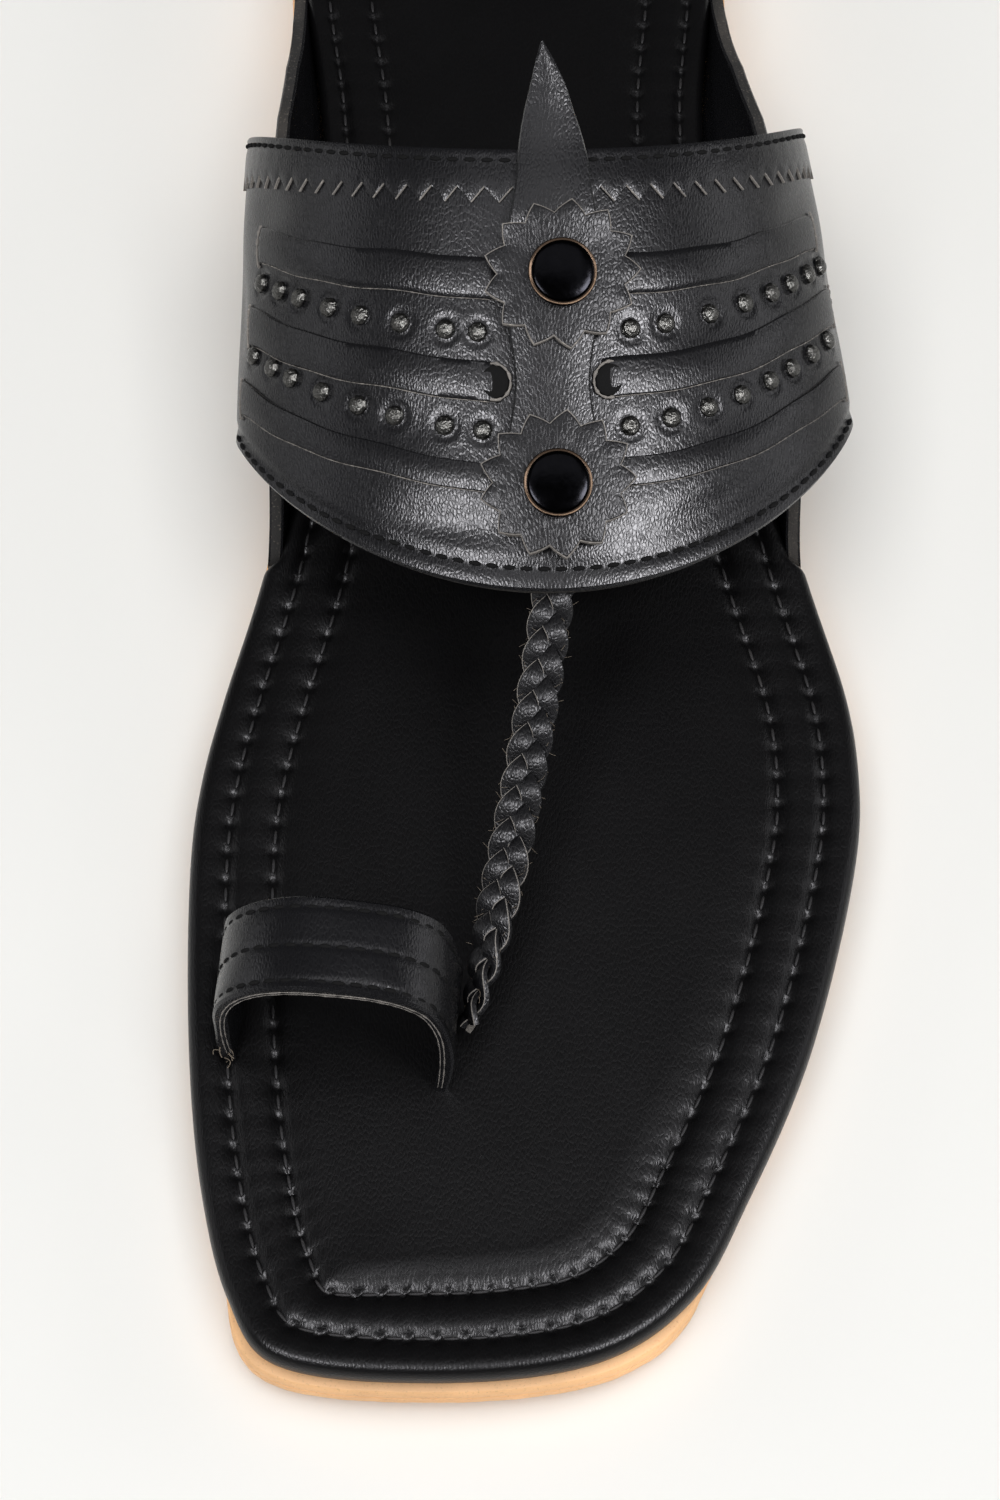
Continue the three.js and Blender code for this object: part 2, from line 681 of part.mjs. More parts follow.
// Across and height of the loop's outer line, from the foot of one leg over to the other
function loopLine() {
  const spring = LOOP_SPRING_SHARE * LOOP_HEIGHT;
  const line = [];
  for (const angle of range(-90, 90, 20)) {
    const arc = toRadians(angle);
    const across = Math.sign(angle) * LOOP_HALF_WIDTH * Math.abs(Math.sin(arc)) ** (2 / LOOP_ROUND);
    const height = spring + (LOOP_HEIGHT - spring) * Math.max(0, Math.cos(arc)) ** (2 / LOOP_ROUND);
    line.push(new THREE.Vector2(across, height));
  }
  const foot = (side, share) => {
    const height = lerp(spring, -LOOP_SOCKET_DEPTH, share);
    return new THREE.Vector2(side * (LOOP_HALF_WIDTH - LOOP_TUCK * share * share), height);
  };
  return [foot(-1, 1), foot(-1, 0.5), ...line, foot(1, 0.5), foot(1, 1)];
}

// The loop's band, grown by a clearance on every face where it is the cutter for the sockets
function loopBand(clearance) {
  const line = loopLine();
  const frame = loopFrame();
  const half = LOOP_BAND_WIDTH / 2 + clearance;
  const face = (offset) => {
    const rows = [];
    for (const edge of [-half, half]) {
      rows.push(line.map((p, i) => {
        const before = line[Math.max(0, i - 1)];
        const after = line[Math.min(line.length - 1, i + 1)];
        const outward = new THREE.Vector2(before.y - after.y, after.x - before.x).normalize();
        const end = i === 0 || i === line.length - 1 ? clearance : 0;
        const low = Math.max(0, 1 - p.y / (LOOP_STRIDE_SHARE * LOOP_HEIGHT));
        const stride = p.x > 0 ? LOOP_STRIDE * low : 0;
        const offsetHeight = p.y + outward.y * offset - end;
        const at = new THREE.Vector3(p.x + outward.x * offset, edge - stride, offsetHeight);
        return at.applyMatrix4(frame).toArray();
      }));
    }
    return rows;
  };
  return sheetSolid(face(clearance), face(-LOOP_WALL - clearance));
}

// The braid runs from under the band's front edge to the loop's outer leg
function braidFrame(share) {
  const inWall = -STRAP_WALL - BRAID_THICKNESS / 5;
  const angle = angleAt(CENTRE_OFFSET + BRAID_START.aside, BRAID_START.along);
  const start = bandAt(angle, BRAID_START.along, inWall);
  const end = new THREE.Vector3(LOOP_HALF_WIDTH + BRAID_END.out, BRAID_END.along, BRAID_END.height);
  end.applyMatrix4(loopFrame());
  const along = end.clone().sub(start);
  const length = along.length();
  const centre = start.clone().addScaledVector(along, share);
  const arch = 4 * share * (1 - share);
  centre.x += BRAID_BOW * arch;
  centre.z -= BRAID_SAG * arch;
  along.x += BRAID_BOW * 4 * (1 - 2 * share);
  along.z -= BRAID_SAG * 4 * (1 - 2 * share);
  along.normalize();
  const level = new THREE.Vector3(0, 0, 1).cross(along).normalize();
  const up = along.clone().cross(level);
  const turn = toRadians(BRAID_TURN) * smoothStep(BRAID_TURN_START, 1, share);
  const wide = level.clone().applyAxisAngle(along, turn);
  const thick = up.clone().applyAxisAngle(along, turn);
  return { centre, along, wide, thick, length };
}

// The braid is one flat wall with its strips raised in slanting pads on both faces
function braidParts() {
  const sides = [];
  const corner = Math.cos(Math.PI / BRAID_SIDES);
  for (let i = 0; i < BRAID_SIDES; i += 1) {
    const angle = ((i + 0.5) / BRAID_SIDES) * 2 * Math.PI;
    sides.push([Math.cos(angle) / corner, Math.sin(angle) / corner]);
  }
  const points = [];
  const triangles = [];
  for (let k = 0; k <= BRAID_STEPS; k += 1) {
    const f = braidFrame(k / BRAID_STEPS);
    for (const [c, s] of sides) {
      const p = f.centre.clone();
      p.addScaledVector(f.wide, (c * BRAID_CORE_WIDTH) / 2);
      p.addScaledVector(f.thick, (s * BRAID_THICKNESS) / 2);
      points.push(p.toArray());
    }
  }
  const count = sides.length;
  for (let k = 0; k < BRAID_STEPS; k += 1) {
    for (let i = 0; i < count; i += 1) {
      const a = k * count + i;
      const b = k * count + ((i + 1) % count);
      triangles.push([a, b, b + count], [a, b + count, a + count]);
    }
  }
  const last = BRAID_STEPS * count;
  for (let i = 1; i < count - 1; i += 1) {
    triangles.push([0, i + 1, i], [last, last + i, last + i + 1]);
  }
  const parts = [solidFrom(points, triangles)];
  const crossings = Math.floor(braidFrame(0.5).length / BRAID_PITCH);
  for (let k = 1; k < crossings; k += 1) {
    for (const face of [-1, 1]) {
      parts.push(braidPad(k / crossings, k % 2 ? 1 : -1, face));
    }
  }
  return parts;
}

function braidPad(share, hand, face) {
  const f = braidFrame(share);
  const pad = new THREE.BoxGeometry(BRAID_PAD_LENGTH, BRAID_STRIP_WIDTH, 2 * BRAID_STRIP_STEP);
  const slant = new THREE.Matrix4().makeRotationZ(-hand * toRadians(BRAID_SLANT));
  const place = new THREE.Matrix4().makeBasis(f.along, f.wide, f.thick);
  const seat = f.centre.clone();
  seat.addScaledVector(f.wide, hand * BRAID_PAD_OFFSET);
  seat.addScaledVector(f.thick, (face * BRAID_THICKNESS) / 2);
  place.setPosition(seat);
  pad.applyMatrix4(slant);
  pad.applyMatrix4(place);
  return solidFromGeometry(pad);
}

function upper() {
  const layers = [vampBand(), ...raisedStrips(), rearOverlay()];
  return wasm.Manifold.union([...layers, ear(-1), ear(1), loopBand(0), ...braidParts()]);
}

// Pieces laid on the band

// Height of the centre strap's underside over the band, which climbs over the rear overlay
function centreLift(share) {
  return STACK_GAP + LAYER_STEP * smoothStep(CENTRE_CLIMB_START, CENTRE_CLIMB_END, share);
}

function centreStrap() {
  const rows = [];
  const half = CENTRE_STRAP_WIDTH / 2;
  const length = bandLength(0, 1);
  for (const share of range(CENTRE_STRAP_FRONT, CENTRE_STRAP_REAR, 10)) {
    const taper = smoothStep(CENTRE_TAPER_START, CENTRE_STRAP_REAR, share);
    const width = half * lerp(1, LEAF[0].width, taper);
    rows.push({ share, width, drift: 0, lift: centreLift(share) });
  }
  for (const row of LEAF.slice(1)) {
    rows.push({
      share: 1 + (row.at * LEAF_LENGTH) / length,
      width: half * row.width,
      drift: row.drift * LEAF_LENGTH,
      lift: centreLift(1) + row.rise * LEAF_LENGTH,
    });
  }
  const face = (extra) => rows.map((row) => [-1, -0.33, 0.33, 1].map((t) => {
    const angle = angleAt(CENTRE_OFFSET + row.drift + t * row.width, row.share);
    return bandAt(angle, row.share, row.lift + extra).toArray();
  }));
  return sheetSolid(face(CENTRE_STRAP_WALL), face(0));
}

function rosette(place) {
  const length = bandLength(0, place.along);
  const count = 2 * ROSETTE_TEETH;
  const radius = ROSETTE_DIAMETER / 2;
  const at = (distance, turn, extra) => {
    const share = place.along + (distance * Math.sin(turn)) / length;
    const angle = angleAt(CENTRE_OFFSET + place.aside + distance * Math.cos(turn), share);
    return bandAt(angle, share, centreLift(share) + CENTRE_STRAP_WALL + STACK_GAP + extra).toArray();
  };
  const points = [];
  for (const extra of [0, ROSETTE_WALL]) {
    points.push(at(0, 0, extra));
    for (let i = 0; i < count; i += 1) {
      points.push(at(ROSETTE_RING, (i / count) * 2 * Math.PI, extra));
    }
    for (let i = 0; i < count; i += 1) {
      points.push(at(radius - (i % 2) * TOOTH_DEPTH, (i / count) * 2 * Math.PI, extra));
    }
  }
  const half = 1 + 2 * count;
  const triangles = [];
  for (let i = 0; i < count; i += 1) {
    const j = (i + 1) % count;
    const inner = [1 + i, 1 + j];
    const outer = [1 + count + i, 1 + count + j];
    triangles.push([0, inner[1], inner[0]]);
    triangles.push([inner[0], inner[1], outer[1]], [inner[0], outer[1], outer[0]]);
    triangles.push([half, half + inner[0], half + inner[1]]);
    triangles.push([half + inner[0], half + outer[1], half + inner[1]]);
    triangles.push([half + inner[0], half + outer[0], half + outer[1]]);
    triangles.push([outer[0], outer[1], half + outer[1]], [outer[0], half + outer[1], half + outer[0]]);
  }
  return solidFrom(points, triangles);
}

function capRivet(place) {
  const radius = CAP_DIAMETER / 2;
  const dome = radius - CAP_RIM_STEP;
  const rise = CAP_HEIGHT - CAP_RIM_HEIGHT;
  const profile = [new THREE.Vector2(0, 0), new THREE.Vector2(radius, 0)];
  profile.push(new THREE.Vector2(radius, CAP_RIM_HEIGHT));
  for (const arc of range(Math.PI / 18, Math.PI / 2, 5)) {
    profile.push(new THREE.Vector2(dome * Math.cos(arc), CAP_RIM_HEIGHT + rise * Math.sin(arc)));
  }
  profile[profile.length - 1].x = 0;
  const cap = new THREE.LatheGeometry(profile, 20);
  cap.rotateX(Math.PI / 2);
  const angle = angleAt(CENTRE_OFFSET + place.aside, place.along);
  const normal = bandNormal(angle, place.along);
  const seat = centreLift(place.along) + CENTRE_STRAP_WALL + ROSETTE_WALL + 2 * STACK_GAP;
  cap.applyQuaternion(new THREE.Quaternion().setFromUnitVectors(new THREE.Vector3(0, 0, 1), normal));
  const at = bandAt(angle, place.along, seat);
  cap.translate(at.x, at.y, at.z);
  return solidFromGeometry(cap);
}

const sandal = new THREE.Group();
sandal.add(pieceFrom("outsole", outsole(), NATURAL_EDGE));
sandal.add(pieceFrom("heel_lift", heelLift(), NATURAL_EDGE));
sandal.add(pieceFrom("footbed", footbed(), BLACK_SMOOTH));
sandal.add(pieceFrom("upper", upper(), BLACK_GRAIN));
sandal.add(pieceFrom("centre_strap", centreStrap(), BLACK_GRAIN));
for (const place of ROSETTES) {
  sandal.add(pieceFrom(`rosette_${place.name}`, rosette(place), BLACK_GRAIN));
  sandal.add(pieceFrom(`cap_rivet_${place.name}`, capRivet(place), DARK_METAL));
}

// The origin is on the floor under the middle of the sandal's box
const box = new THREE.Box3().setFromObject(sandal);
sandal.position.set(-(box.min.x + box.max.x) / 2, -(box.min.y + box.max.y) / 2, -box.min.z);

export default sandal;
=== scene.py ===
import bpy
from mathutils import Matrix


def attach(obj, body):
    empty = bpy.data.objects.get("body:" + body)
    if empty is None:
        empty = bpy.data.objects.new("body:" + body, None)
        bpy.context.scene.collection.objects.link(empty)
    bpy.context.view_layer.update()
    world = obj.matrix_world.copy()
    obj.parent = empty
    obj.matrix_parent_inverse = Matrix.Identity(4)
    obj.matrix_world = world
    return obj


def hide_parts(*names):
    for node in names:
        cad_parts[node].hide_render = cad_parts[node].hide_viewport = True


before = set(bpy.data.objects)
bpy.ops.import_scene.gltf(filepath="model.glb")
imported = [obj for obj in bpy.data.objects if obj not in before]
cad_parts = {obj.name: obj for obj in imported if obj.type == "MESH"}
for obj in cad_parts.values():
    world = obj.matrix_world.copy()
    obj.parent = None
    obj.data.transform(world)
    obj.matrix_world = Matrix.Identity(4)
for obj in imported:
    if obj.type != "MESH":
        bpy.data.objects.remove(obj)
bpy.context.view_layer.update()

import math

import bpy
import numpy as np
from mathutils import Matrix, Vector

bl_info = {
    "name": "Kolhapuri sandal",
    "version": (1, 0, 0),
    "blender": (4, 5, 0),
    "location": "View3D > Sidebar > Sandal",
    "description": "Builds a left leather sandal with a vamp band, toe loop and braid",
    "category": "Object",
}

# Lengths in this file are millimetres in the sole's own axes: x outwards from the sole's axis, y from
# the toe tip to the heel, z up from the floor. SHIFT brings them to the frame's origin.
MM = 0.001
SHIFT = np.array([-0.0684, -140.4637, 0.0])

SOLE_LENGTH = 281.0
BALL_WIDTH = 101.0
OUTSOLE_THICKNESS = 5.0
FOOTBED_THICKNESS = 5.4
HEEL_LIFT = 9.0
TOE_SPRING = 2.5
WELT = 1.4
SEAT_GAP = 0.3
STACK_GAP = 0.5
INSTEP_HEIGHT = 49.0
SHOULDER_HEIGHT = 12.5
STRAP_WALL = 2.4
EAR_WALL = 2.2
STRAP_LIFT = 5.0
WALL_JOIN = 0.8
LAYER = 0.5
CENTRE = 3.7
CENTRE_WIDTH = 13.6
CENTRE_WALL = 1.3
LEAF_LENGTH = 15.0
SHOULDER = 90.0
FLANK_TURN = 20.0
BAND_LONG = 62.0
TUCK_IN = 1.9

# Sole's outline from toe to heel: share of the length, inner and outer edge as shares of the ball's
# width, and share of the welt
OUTLINE = np.array([
    (0.0, 0.139, -0.139, 0.6), (0.0125, 0.366, 0.109, 0.8), (0.046, 0.424, 0.234, 0.9),
    (0.1, 0.465, 0.317, 0.5), (0.18, 0.493, 0.413, 0.15), (0.3, 0.502, 0.497, 0.1),
    (0.345, 0.489, 0.504, 0.1), (0.39, 0.463, 0.492, 0.1), (0.485, 0.398, 0.425, 0.4),
    (0.587, 0.36, 0.367, 0.5), (0.694, 0.34, 0.32, 0.5), (0.765, 0.351, 0.311, 0.5),
    (0.854, 0.381, 0.331, 0.5), (0.897, 0.379, 0.33, 0.5), (0.943, 0.342, 0.292, 0.6),
    (0.979, 0.243, 0.193, 0.6), (1.0, 0.025, -0.025, 0.6),
])
# Side ears: share of the sole's length, height and flare as shares of the shoulder's
EAR = np.array([
    (0.477, 0.1, 0.0), (0.5, 0.75, 0.12), (0.53, 0.92, 0.5), (0.58, 0.95, 0.75), (0.66, 0.92, 0.82),
    (0.735, 0.8, 0.76), (0.78, 0.64, 0.64), (0.825, 0.4, 0.4), (0.868, 0.1, 0.1),
])
# Front and rear edges of the band, as shares of the sole's length, ball's width and instep's height
FRONT = dict(along=0.391, sweep=0.132, crest=0.639, inner=0.446, outer=0.505, bow=1.4, round=2.0)
REAR = dict(along=0.609, sweep=0.1, crest=1.0, inner=0.436, outer=0.436, bow=1.12, round=2.15)
# Raised strips: low and high edge at the centre, the same at the ends, inner and outer end in degrees
STRIPS = [
    (0.215, 0.28, 0.12, 0.225, -78, 80),
    (0.42, 0.51, 0.35, 0.465, -73, 80),
    (0.65, 0.745, 0.61, 0.715, -68, 74),
]
# Leaf beyond the band: share of its length, then width, drift and rise as shares
LEAF = [
    (0.1, 0.66, -0.02, 0.01), (0.35, 0.52, -0.04, 0.03), (0.6, 0.37, -0.05, 0.07),
    (0.82, 0.2, -0.08, 0.12), (1.0, 0.03, -0.11, 0.17),
]
# Soft troughs in the band's leather: angle, share, half length in degrees, half width in mm, depth
CREASES = [
    (-52, 0.56, 16, 4, 0.45), (38, 0.56, 20, 4, 0.4), (-30, 0.33, 14, 3.5, 0.35),
    (44, 0.32, 16, 3.5, 0.35), (-64, 0.78, 10, 5, 0.5), (66, 0.76, 12, 5, 0.45),
    (-18, 0.12, 12, 3, 0.4), (30, 0.1, 16, 3, 0.4), (-82, 0.42, 6, 9, 0.5), (84, 0.4, 6, 9, 0.5),
]


def smooth_step(start, end, value):
    t = np.clip((np.asarray(value, float) - start) / (end - start), 0, 1)
    return t * t * (3 - 2 * t)


def bump_at(value, centre, width):
    return np.exp(-(((np.asarray(value, float) - centre) / width) ** 2))


def unit(vectors):
    return vectors / np.linalg.norm(vectors, axis=-1, keepdims=True)


def full_turn(count):
    """Even angles once round"""
    return np.linspace(0, 2 * math.pi, count, endpoint=False)


def run_along(line):
    """Distance along a line at each of its points"""
    return np.concatenate([[0], np.cumsum(np.linalg.norm(np.diff(line, axis=0), axis=1))])


def read_at(at, run, values):
    """Rows of values that are known along a run, read at other distances"""
    return np.stack([np.interp(at, run, column) for column in values.T], 1)


def to_metres(points):
    return (np.asarray(points, float).reshape(-1, 3) + SHIFT) * MM


# Sole


def closed_curve(points, count):
    """Even points on a closed centripetal curve through the given points"""
    before, after, beyond = np.roll(points, 1, 0), np.roll(points, -1, 0), np.roll(points, -2, 0)
    d0 = np.sqrt(np.linalg.norm(points - before, axis=1))[:, None]
    d1 = np.sqrt(np.linalg.norm(after - points, axis=1))[:, None]
    d2 = np.sqrt(np.linalg.norm(beyond - after, axis=1))[:, None]
    m1 = ((points - before) / d0 - (after - before) / (d0 + d1) + (after - points) / d1) * d1
    m2 = ((after - points) / d1 - (beyond - points) / (d1 + d2) + (beyond - after) / d2) * d1
    t = np.linspace(0, 1, 80, endpoint=False)[None, :, None]
    a, b, m, n = points[:, None], after[:, None], m1[:, None], m2[:, None]
    dense = (2 * t**3 - 3 * t**2 + 1) * a + (t**3 - 2 * t**2 + t) * m
    dense = (dense + (3 * t**2 - 2 * t**3) * b + (t**3 - t**2) * n).reshape(-1, points.shape[1])
    return even_points(np.vstack([dense, dense[:1]]), count + 1)[:-1]


def even_points(line, count):
    """Points at even steps along an open line"""
    run = run_along(line)
    return read_at(np.linspace(0, run[-1], count), run, line)


OUTER_SIDE = np.stack([OUTLINE[:, 2] * BALL_WIDTH, OUTLINE[:, 0] * SOLE_LENGTH], 1)
INNER_SIDE = np.stack([-OUTLINE[:, 1] * BALL_WIDTH, OUTLINE[:, 0] * SOLE_LENGTH], 1)[1:-1][::-1]
# The sole's edge as even points, and each half of it by side
RING_POINTS = 1100
EDGE = closed_curve(np.vstack([OUTER_SIDE, INNER_SIDE]), RING_POINTS)
HALF = {}
for _side in (-1, 1):
    _kept = EDGE[(EDGE[:, 0] - np.interp(EDGE[:, 1], [0, SOLE_LENGTH], [-14, 0])) * _side > 0]
    HALF[_side] = _kept[np.argsort(_kept[:, 1])]


def side_edge(side, y):
    side = np.asarray(side)
    right = np.interp(y, HALF[1][:, 1], HALF[1][:, 0])
    left = -np.interp(y, HALF[-1][:, 1], HALF[-1][:, 0])
    return np.where(side > 0, right, left)


def sole_rise(y):
    toe = np.maximum(0, 0.1 * SOLE_LENGTH - y) / (0.1 * SOLE_LENGTH)
    shank = smooth_step(0.41 * SOLE_LENGTH, 0.694 * SOLE_LENGTH, y)
    return TOE_SPRING * toe * toe + (HEEL_LIFT + SEAT_GAP) * shank


def outsole_top(y):
    return sole_rise(y) + OUTSOLE_THICKNESS


def footbed_top(y):
    return outsole_top(y) + SEAT_GAP + FOOTBED_THICKNESS


def ring_ways():
    """Way in towards the spine from each point of the edge, and the spine's points"""
    tangent = np.roll(EDGE, -1, 0) - np.roll(EDGE, 1, 0)
    outward = unit(np.stack([tangent[:, 1], -tangent[:, 0]], 1))
    spine_y = np.clip(EDGE[:, 1], 0.12 * SOLE_LENGTH, 0.87 * SOLE_LENGTH)
    spine_x = (side_edge(1, spine_y) - side_edge(-1, spine_y)) / 2
    spine = np.stack([spine_x, spine_y], 1)
    way = unit(spine - EDGE)
    return way / -np.sum(way * outward, axis=1)[:, None], spine


WAY, SPINE = ring_ways()
RUN = run_along(EDGE)
RING_LENGTH = RUN[-1] + np.linalg.norm(EDGE[-1] - EDGE[0])
WELT_AT = WELT * np.interp(EDGE[:, 1] / SOLE_LENGTH, OUTLINE[:, 0], OUTLINE[:, 3])
TUCKED = smooth_step(7, 18, EDGE[:, 1]) * (1 - smooth_step(90, 120, EDGE[:, 1]))
WELT_AT = WELT_AT - TUCKED * TUCK_IN


def ring(inset, height, share=0.0):
    """A ring round the sole, set in by inset and then moved a share of the way to the spine"""
    flat = EDGE + WAY * np.asarray(inset, float).reshape(-1, 1)
    flat = flat + (SPINE - flat) * share
    return np.column_stack([flat, sole_rise(flat[:, 1]) + height])


# Vamp band


def band_edge(share):
    return {name: FRONT[name] + (REAR[name] - FRONT[name]) * share for name in FRONT}


def band_spread(edge):
    """Middle of the band across the sole and its reach to either side"""
    return ((edge["outer"] - edge["inner"]) / 2 * BALL_WIDTH,
            (edge["outer"] + edge["inner"]) / 2 * BALL_WIDTH)


def shoulder_station(share, side):
    edge = band_edge(share)
    return (edge["along"] + edge["sweep"] * (1 + 0.04 * side)) * SOLE_LENGTH


def shoulder_level(y):
    return footbed_top(y) + SHOULDER_HEIGHT


def shoulder_reach(side, y):
    start, end = shoulder_station(0, side), shoulder_station(1, side)
    t = (y - start) / (end - start)
    outer = FRONT["outer"] + (REAR["outer"] - FRONT["outer"]) * t
    inner = FRONT["inner"] + (REAR["inner"] - FRONT["inner"]) * t
    return np.where(side > 0, outer, inner) * BALL_WIDTH


def ear_face(side, y, z):
    foot = outsole_top(y) + SEAT_GAP
    base = side_edge(side, y)
    out = np.maximum(0, shoulder_reach(side, y) - STRAP_WALL + WALL_JOIN - base)
    top = base + out * np.interp(y / SOLE_LENGTH, EAR[:, 0], EAR[:, 2])
    t = np.clip((z - foot) / (shoulder_level(y) - foot), 0, 1)
    return base + (top - base) * np.sin(t * math.pi / 2)


def band_point(angle, share):
    """Point of the band's outer face: degrees across from the crest, share from front to rear"""
    angle, share = np.broadcast_arrays(np.asarray(angle, float), np.asarray(share, float))
    side = np.where(angle < 0, -1.0, 1.0)
    edge = band_edge(share)
    arc = np.radians(np.minimum(np.abs(angle), SHOULDER))
    over = np.maximum(0, np.cos(arc))
    crest_y = edge["along"] * SOLE_LENGTH
    crest_z = footbed_top(crest_y) + edge["crest"] * INSTEP_HEIGHT + 6 * share * (1 - share)
    shoulder_y = shoulder_station(share, side)
    shoulder_z = shoulder_level(shoulder_y)
    middle, reach = band_spread(edge)
    twist = 1 + 0.04 * side * np.sin(arc)
    x = middle + side * reach * np.sin(arc) ** (2 / edge["round"])
    y = crest_y + edge["sweep"] * SOLE_LENGTH * (1 - over ** edge["bow"]) * twist
    z = shoulder_z + (crest_z - shoulder_z) * over ** (2 / edge["round"])
    down = np.maximum(0, (np.abs(angle) - SHOULDER) / FLANK_TURN)
    flank_y = shoulder_y + down * 3
    low = outsole_top(flank_y) + SEAT_GAP + STRAP_LIFT
    flank_z = shoulder_z + (low - shoulder_z) * down
    joined = ear_face(side, flank_y, flank_z) + STRAP_WALL - WALL_JOIN
    wide = reach + side * middle
    flank_x = side * (wide + (joined - wide) * (1 - np.cos(down * math.pi / 2)))
    is_flank = down > 0
    return np.stack([np.where(is_flank, flank_x, x), np.where(is_flank, flank_y, y),
                     np.where(is_flank, flank_z, z)], -1)


def band_normal(angle, share):
    angle = np.asarray(angle, float)
    share = np.asarray(share, float)
    across = band_point(angle + 0.7, share) - band_point(angle - 0.7, share)
    along = band_point(angle, share + 0.01) - band_point(angle, share - 0.01)
    return unit(np.cross(across, along))


def relief(angle, share):
    """Height of the leather's soft troughs and ridges"""
    front = np.clip((0.3 - share) / 0.3, 0, 1)
    rear = np.clip((share - 0.85) / 0.15, 0, 1)
    rise = -(0.9 * front**2 + 0.4 * rear**2) * bump_at(angle, 0, 70)
    for at, along, reach, width, depth in CREASES:
        off = (share - along) * BAND_LONG - 0.08 * (angle - at)
        rise = rise - depth * bump_at(angle, at, reach) * bump_at(off, 0, width)
        rise = rise + 0.4 * depth * bump_at(angle, at, reach) * bump_at(off, 1.9 * width, width)
    return rise


def band_at(angle, share, lift):
    angle, share = np.broadcast_arrays(np.asarray(angle, float), np.asarray(share, float))
    lift = np.asarray(lift, float) + relief(angle, share)
    return band_point(angle, share) + band_normal(angle, share) * lift[..., None]


def angle_at(x, share):
    edge = band_edge(np.asarray(share, float))
    middle, reach = band_spread(edge)
    off = (np.asarray(x, float) - middle) / reach
    return np.sign(off) * np.degrees(np.arcsin(np.abs(off) ** (edge["round"] / 2)))


# Rows of studs: share along the band at the centre and at the ends, and degrees across of each stud
STUD_ROWS = [
    (0.575, 0.55, (-66, -58, -51, -42, -34, -25, -16, -10, 17, 24, 34, 43, 51, 58, 66, 74)),
    (0.355, 0.33, (-69, -60, -53, -44, -35, -27, -17, -10, 16, 24, 32, 40, 48, 55, 63, 72)),
]


MOUND_HEIGHT = 0.15
DIP_DEPTH = 0.25


def stud_places():
    """Degrees across and shares along of every stud"""
    angles, shares = [], []
    for centre, end, places in STUD_ROWS:
        row = np.array(places, float)
        angles.append(row)
        shares.append(centre + (end - centre) * (np.abs(row) / 74) ** 3)
    return np.concatenate(angles), np.concatenate(shares)


def mounds(angle, share):
    """Height of the leather pushed up under each stud, with the dip round it"""
    points = band_point(angle, share)
    rise = np.zeros(points.shape[:-1])
    for centre in band_point(*stud_places()):
        far = np.linalg.norm(points - centre, axis=-1)
        rise = rise + MOUND_HEIGHT * bump_at(far, 0, 2.9) - DIP_DEPTH * bump_at(far, 1.75, 0.45)
    return rise


def band_length(angle, share):
    return np.linalg.norm(band_point(angle, share + 0.05) - band_point(angle, share - 0.05)) / 0.1


# Meshes


def grid_quads(index):
    corners = [index[:-1, :-1], index[:-1, 1:], index[1:, 1:], index[1:, :-1]]
    return np.stack(corners, -1).reshape(-1, 4)


def closed_index(rows, count):
    """Numbers of the points of rings in rows, each ring ending at its first point again"""
    index = np.arange(rows * count).reshape(rows, count)
    return np.column_stack([index, index[:, 0]])


def zip_sides(y, first):
    """Triangles between the right and left halves of a ring, matched by y, with points from first on"""
    count = len(y)
    toe, heel = int(np.argmin(y)), int(np.argmax(y))
    right = [(toe + k) % count for k in range((heel - toe) % count + 1)]
    left = [(toe - k) % count for k in range((toe - heel) % count + 1)]
    faces = []
    i = j = 0
    while i < len(right) - 1 or j < len(left) - 1:
        if j == len(left) - 1 or (i < len(right) - 1 and y[right[i + 1]] <= y[left[j + 1]]):
            face = (right[i], right[i + 1], left[j])
            i += 1
        else:
            face = (right[i], left[j + 1], left[j])
            j += 1
        if len(set(face)) == 3:
            faces.append([first + k for k in face])
    return faces


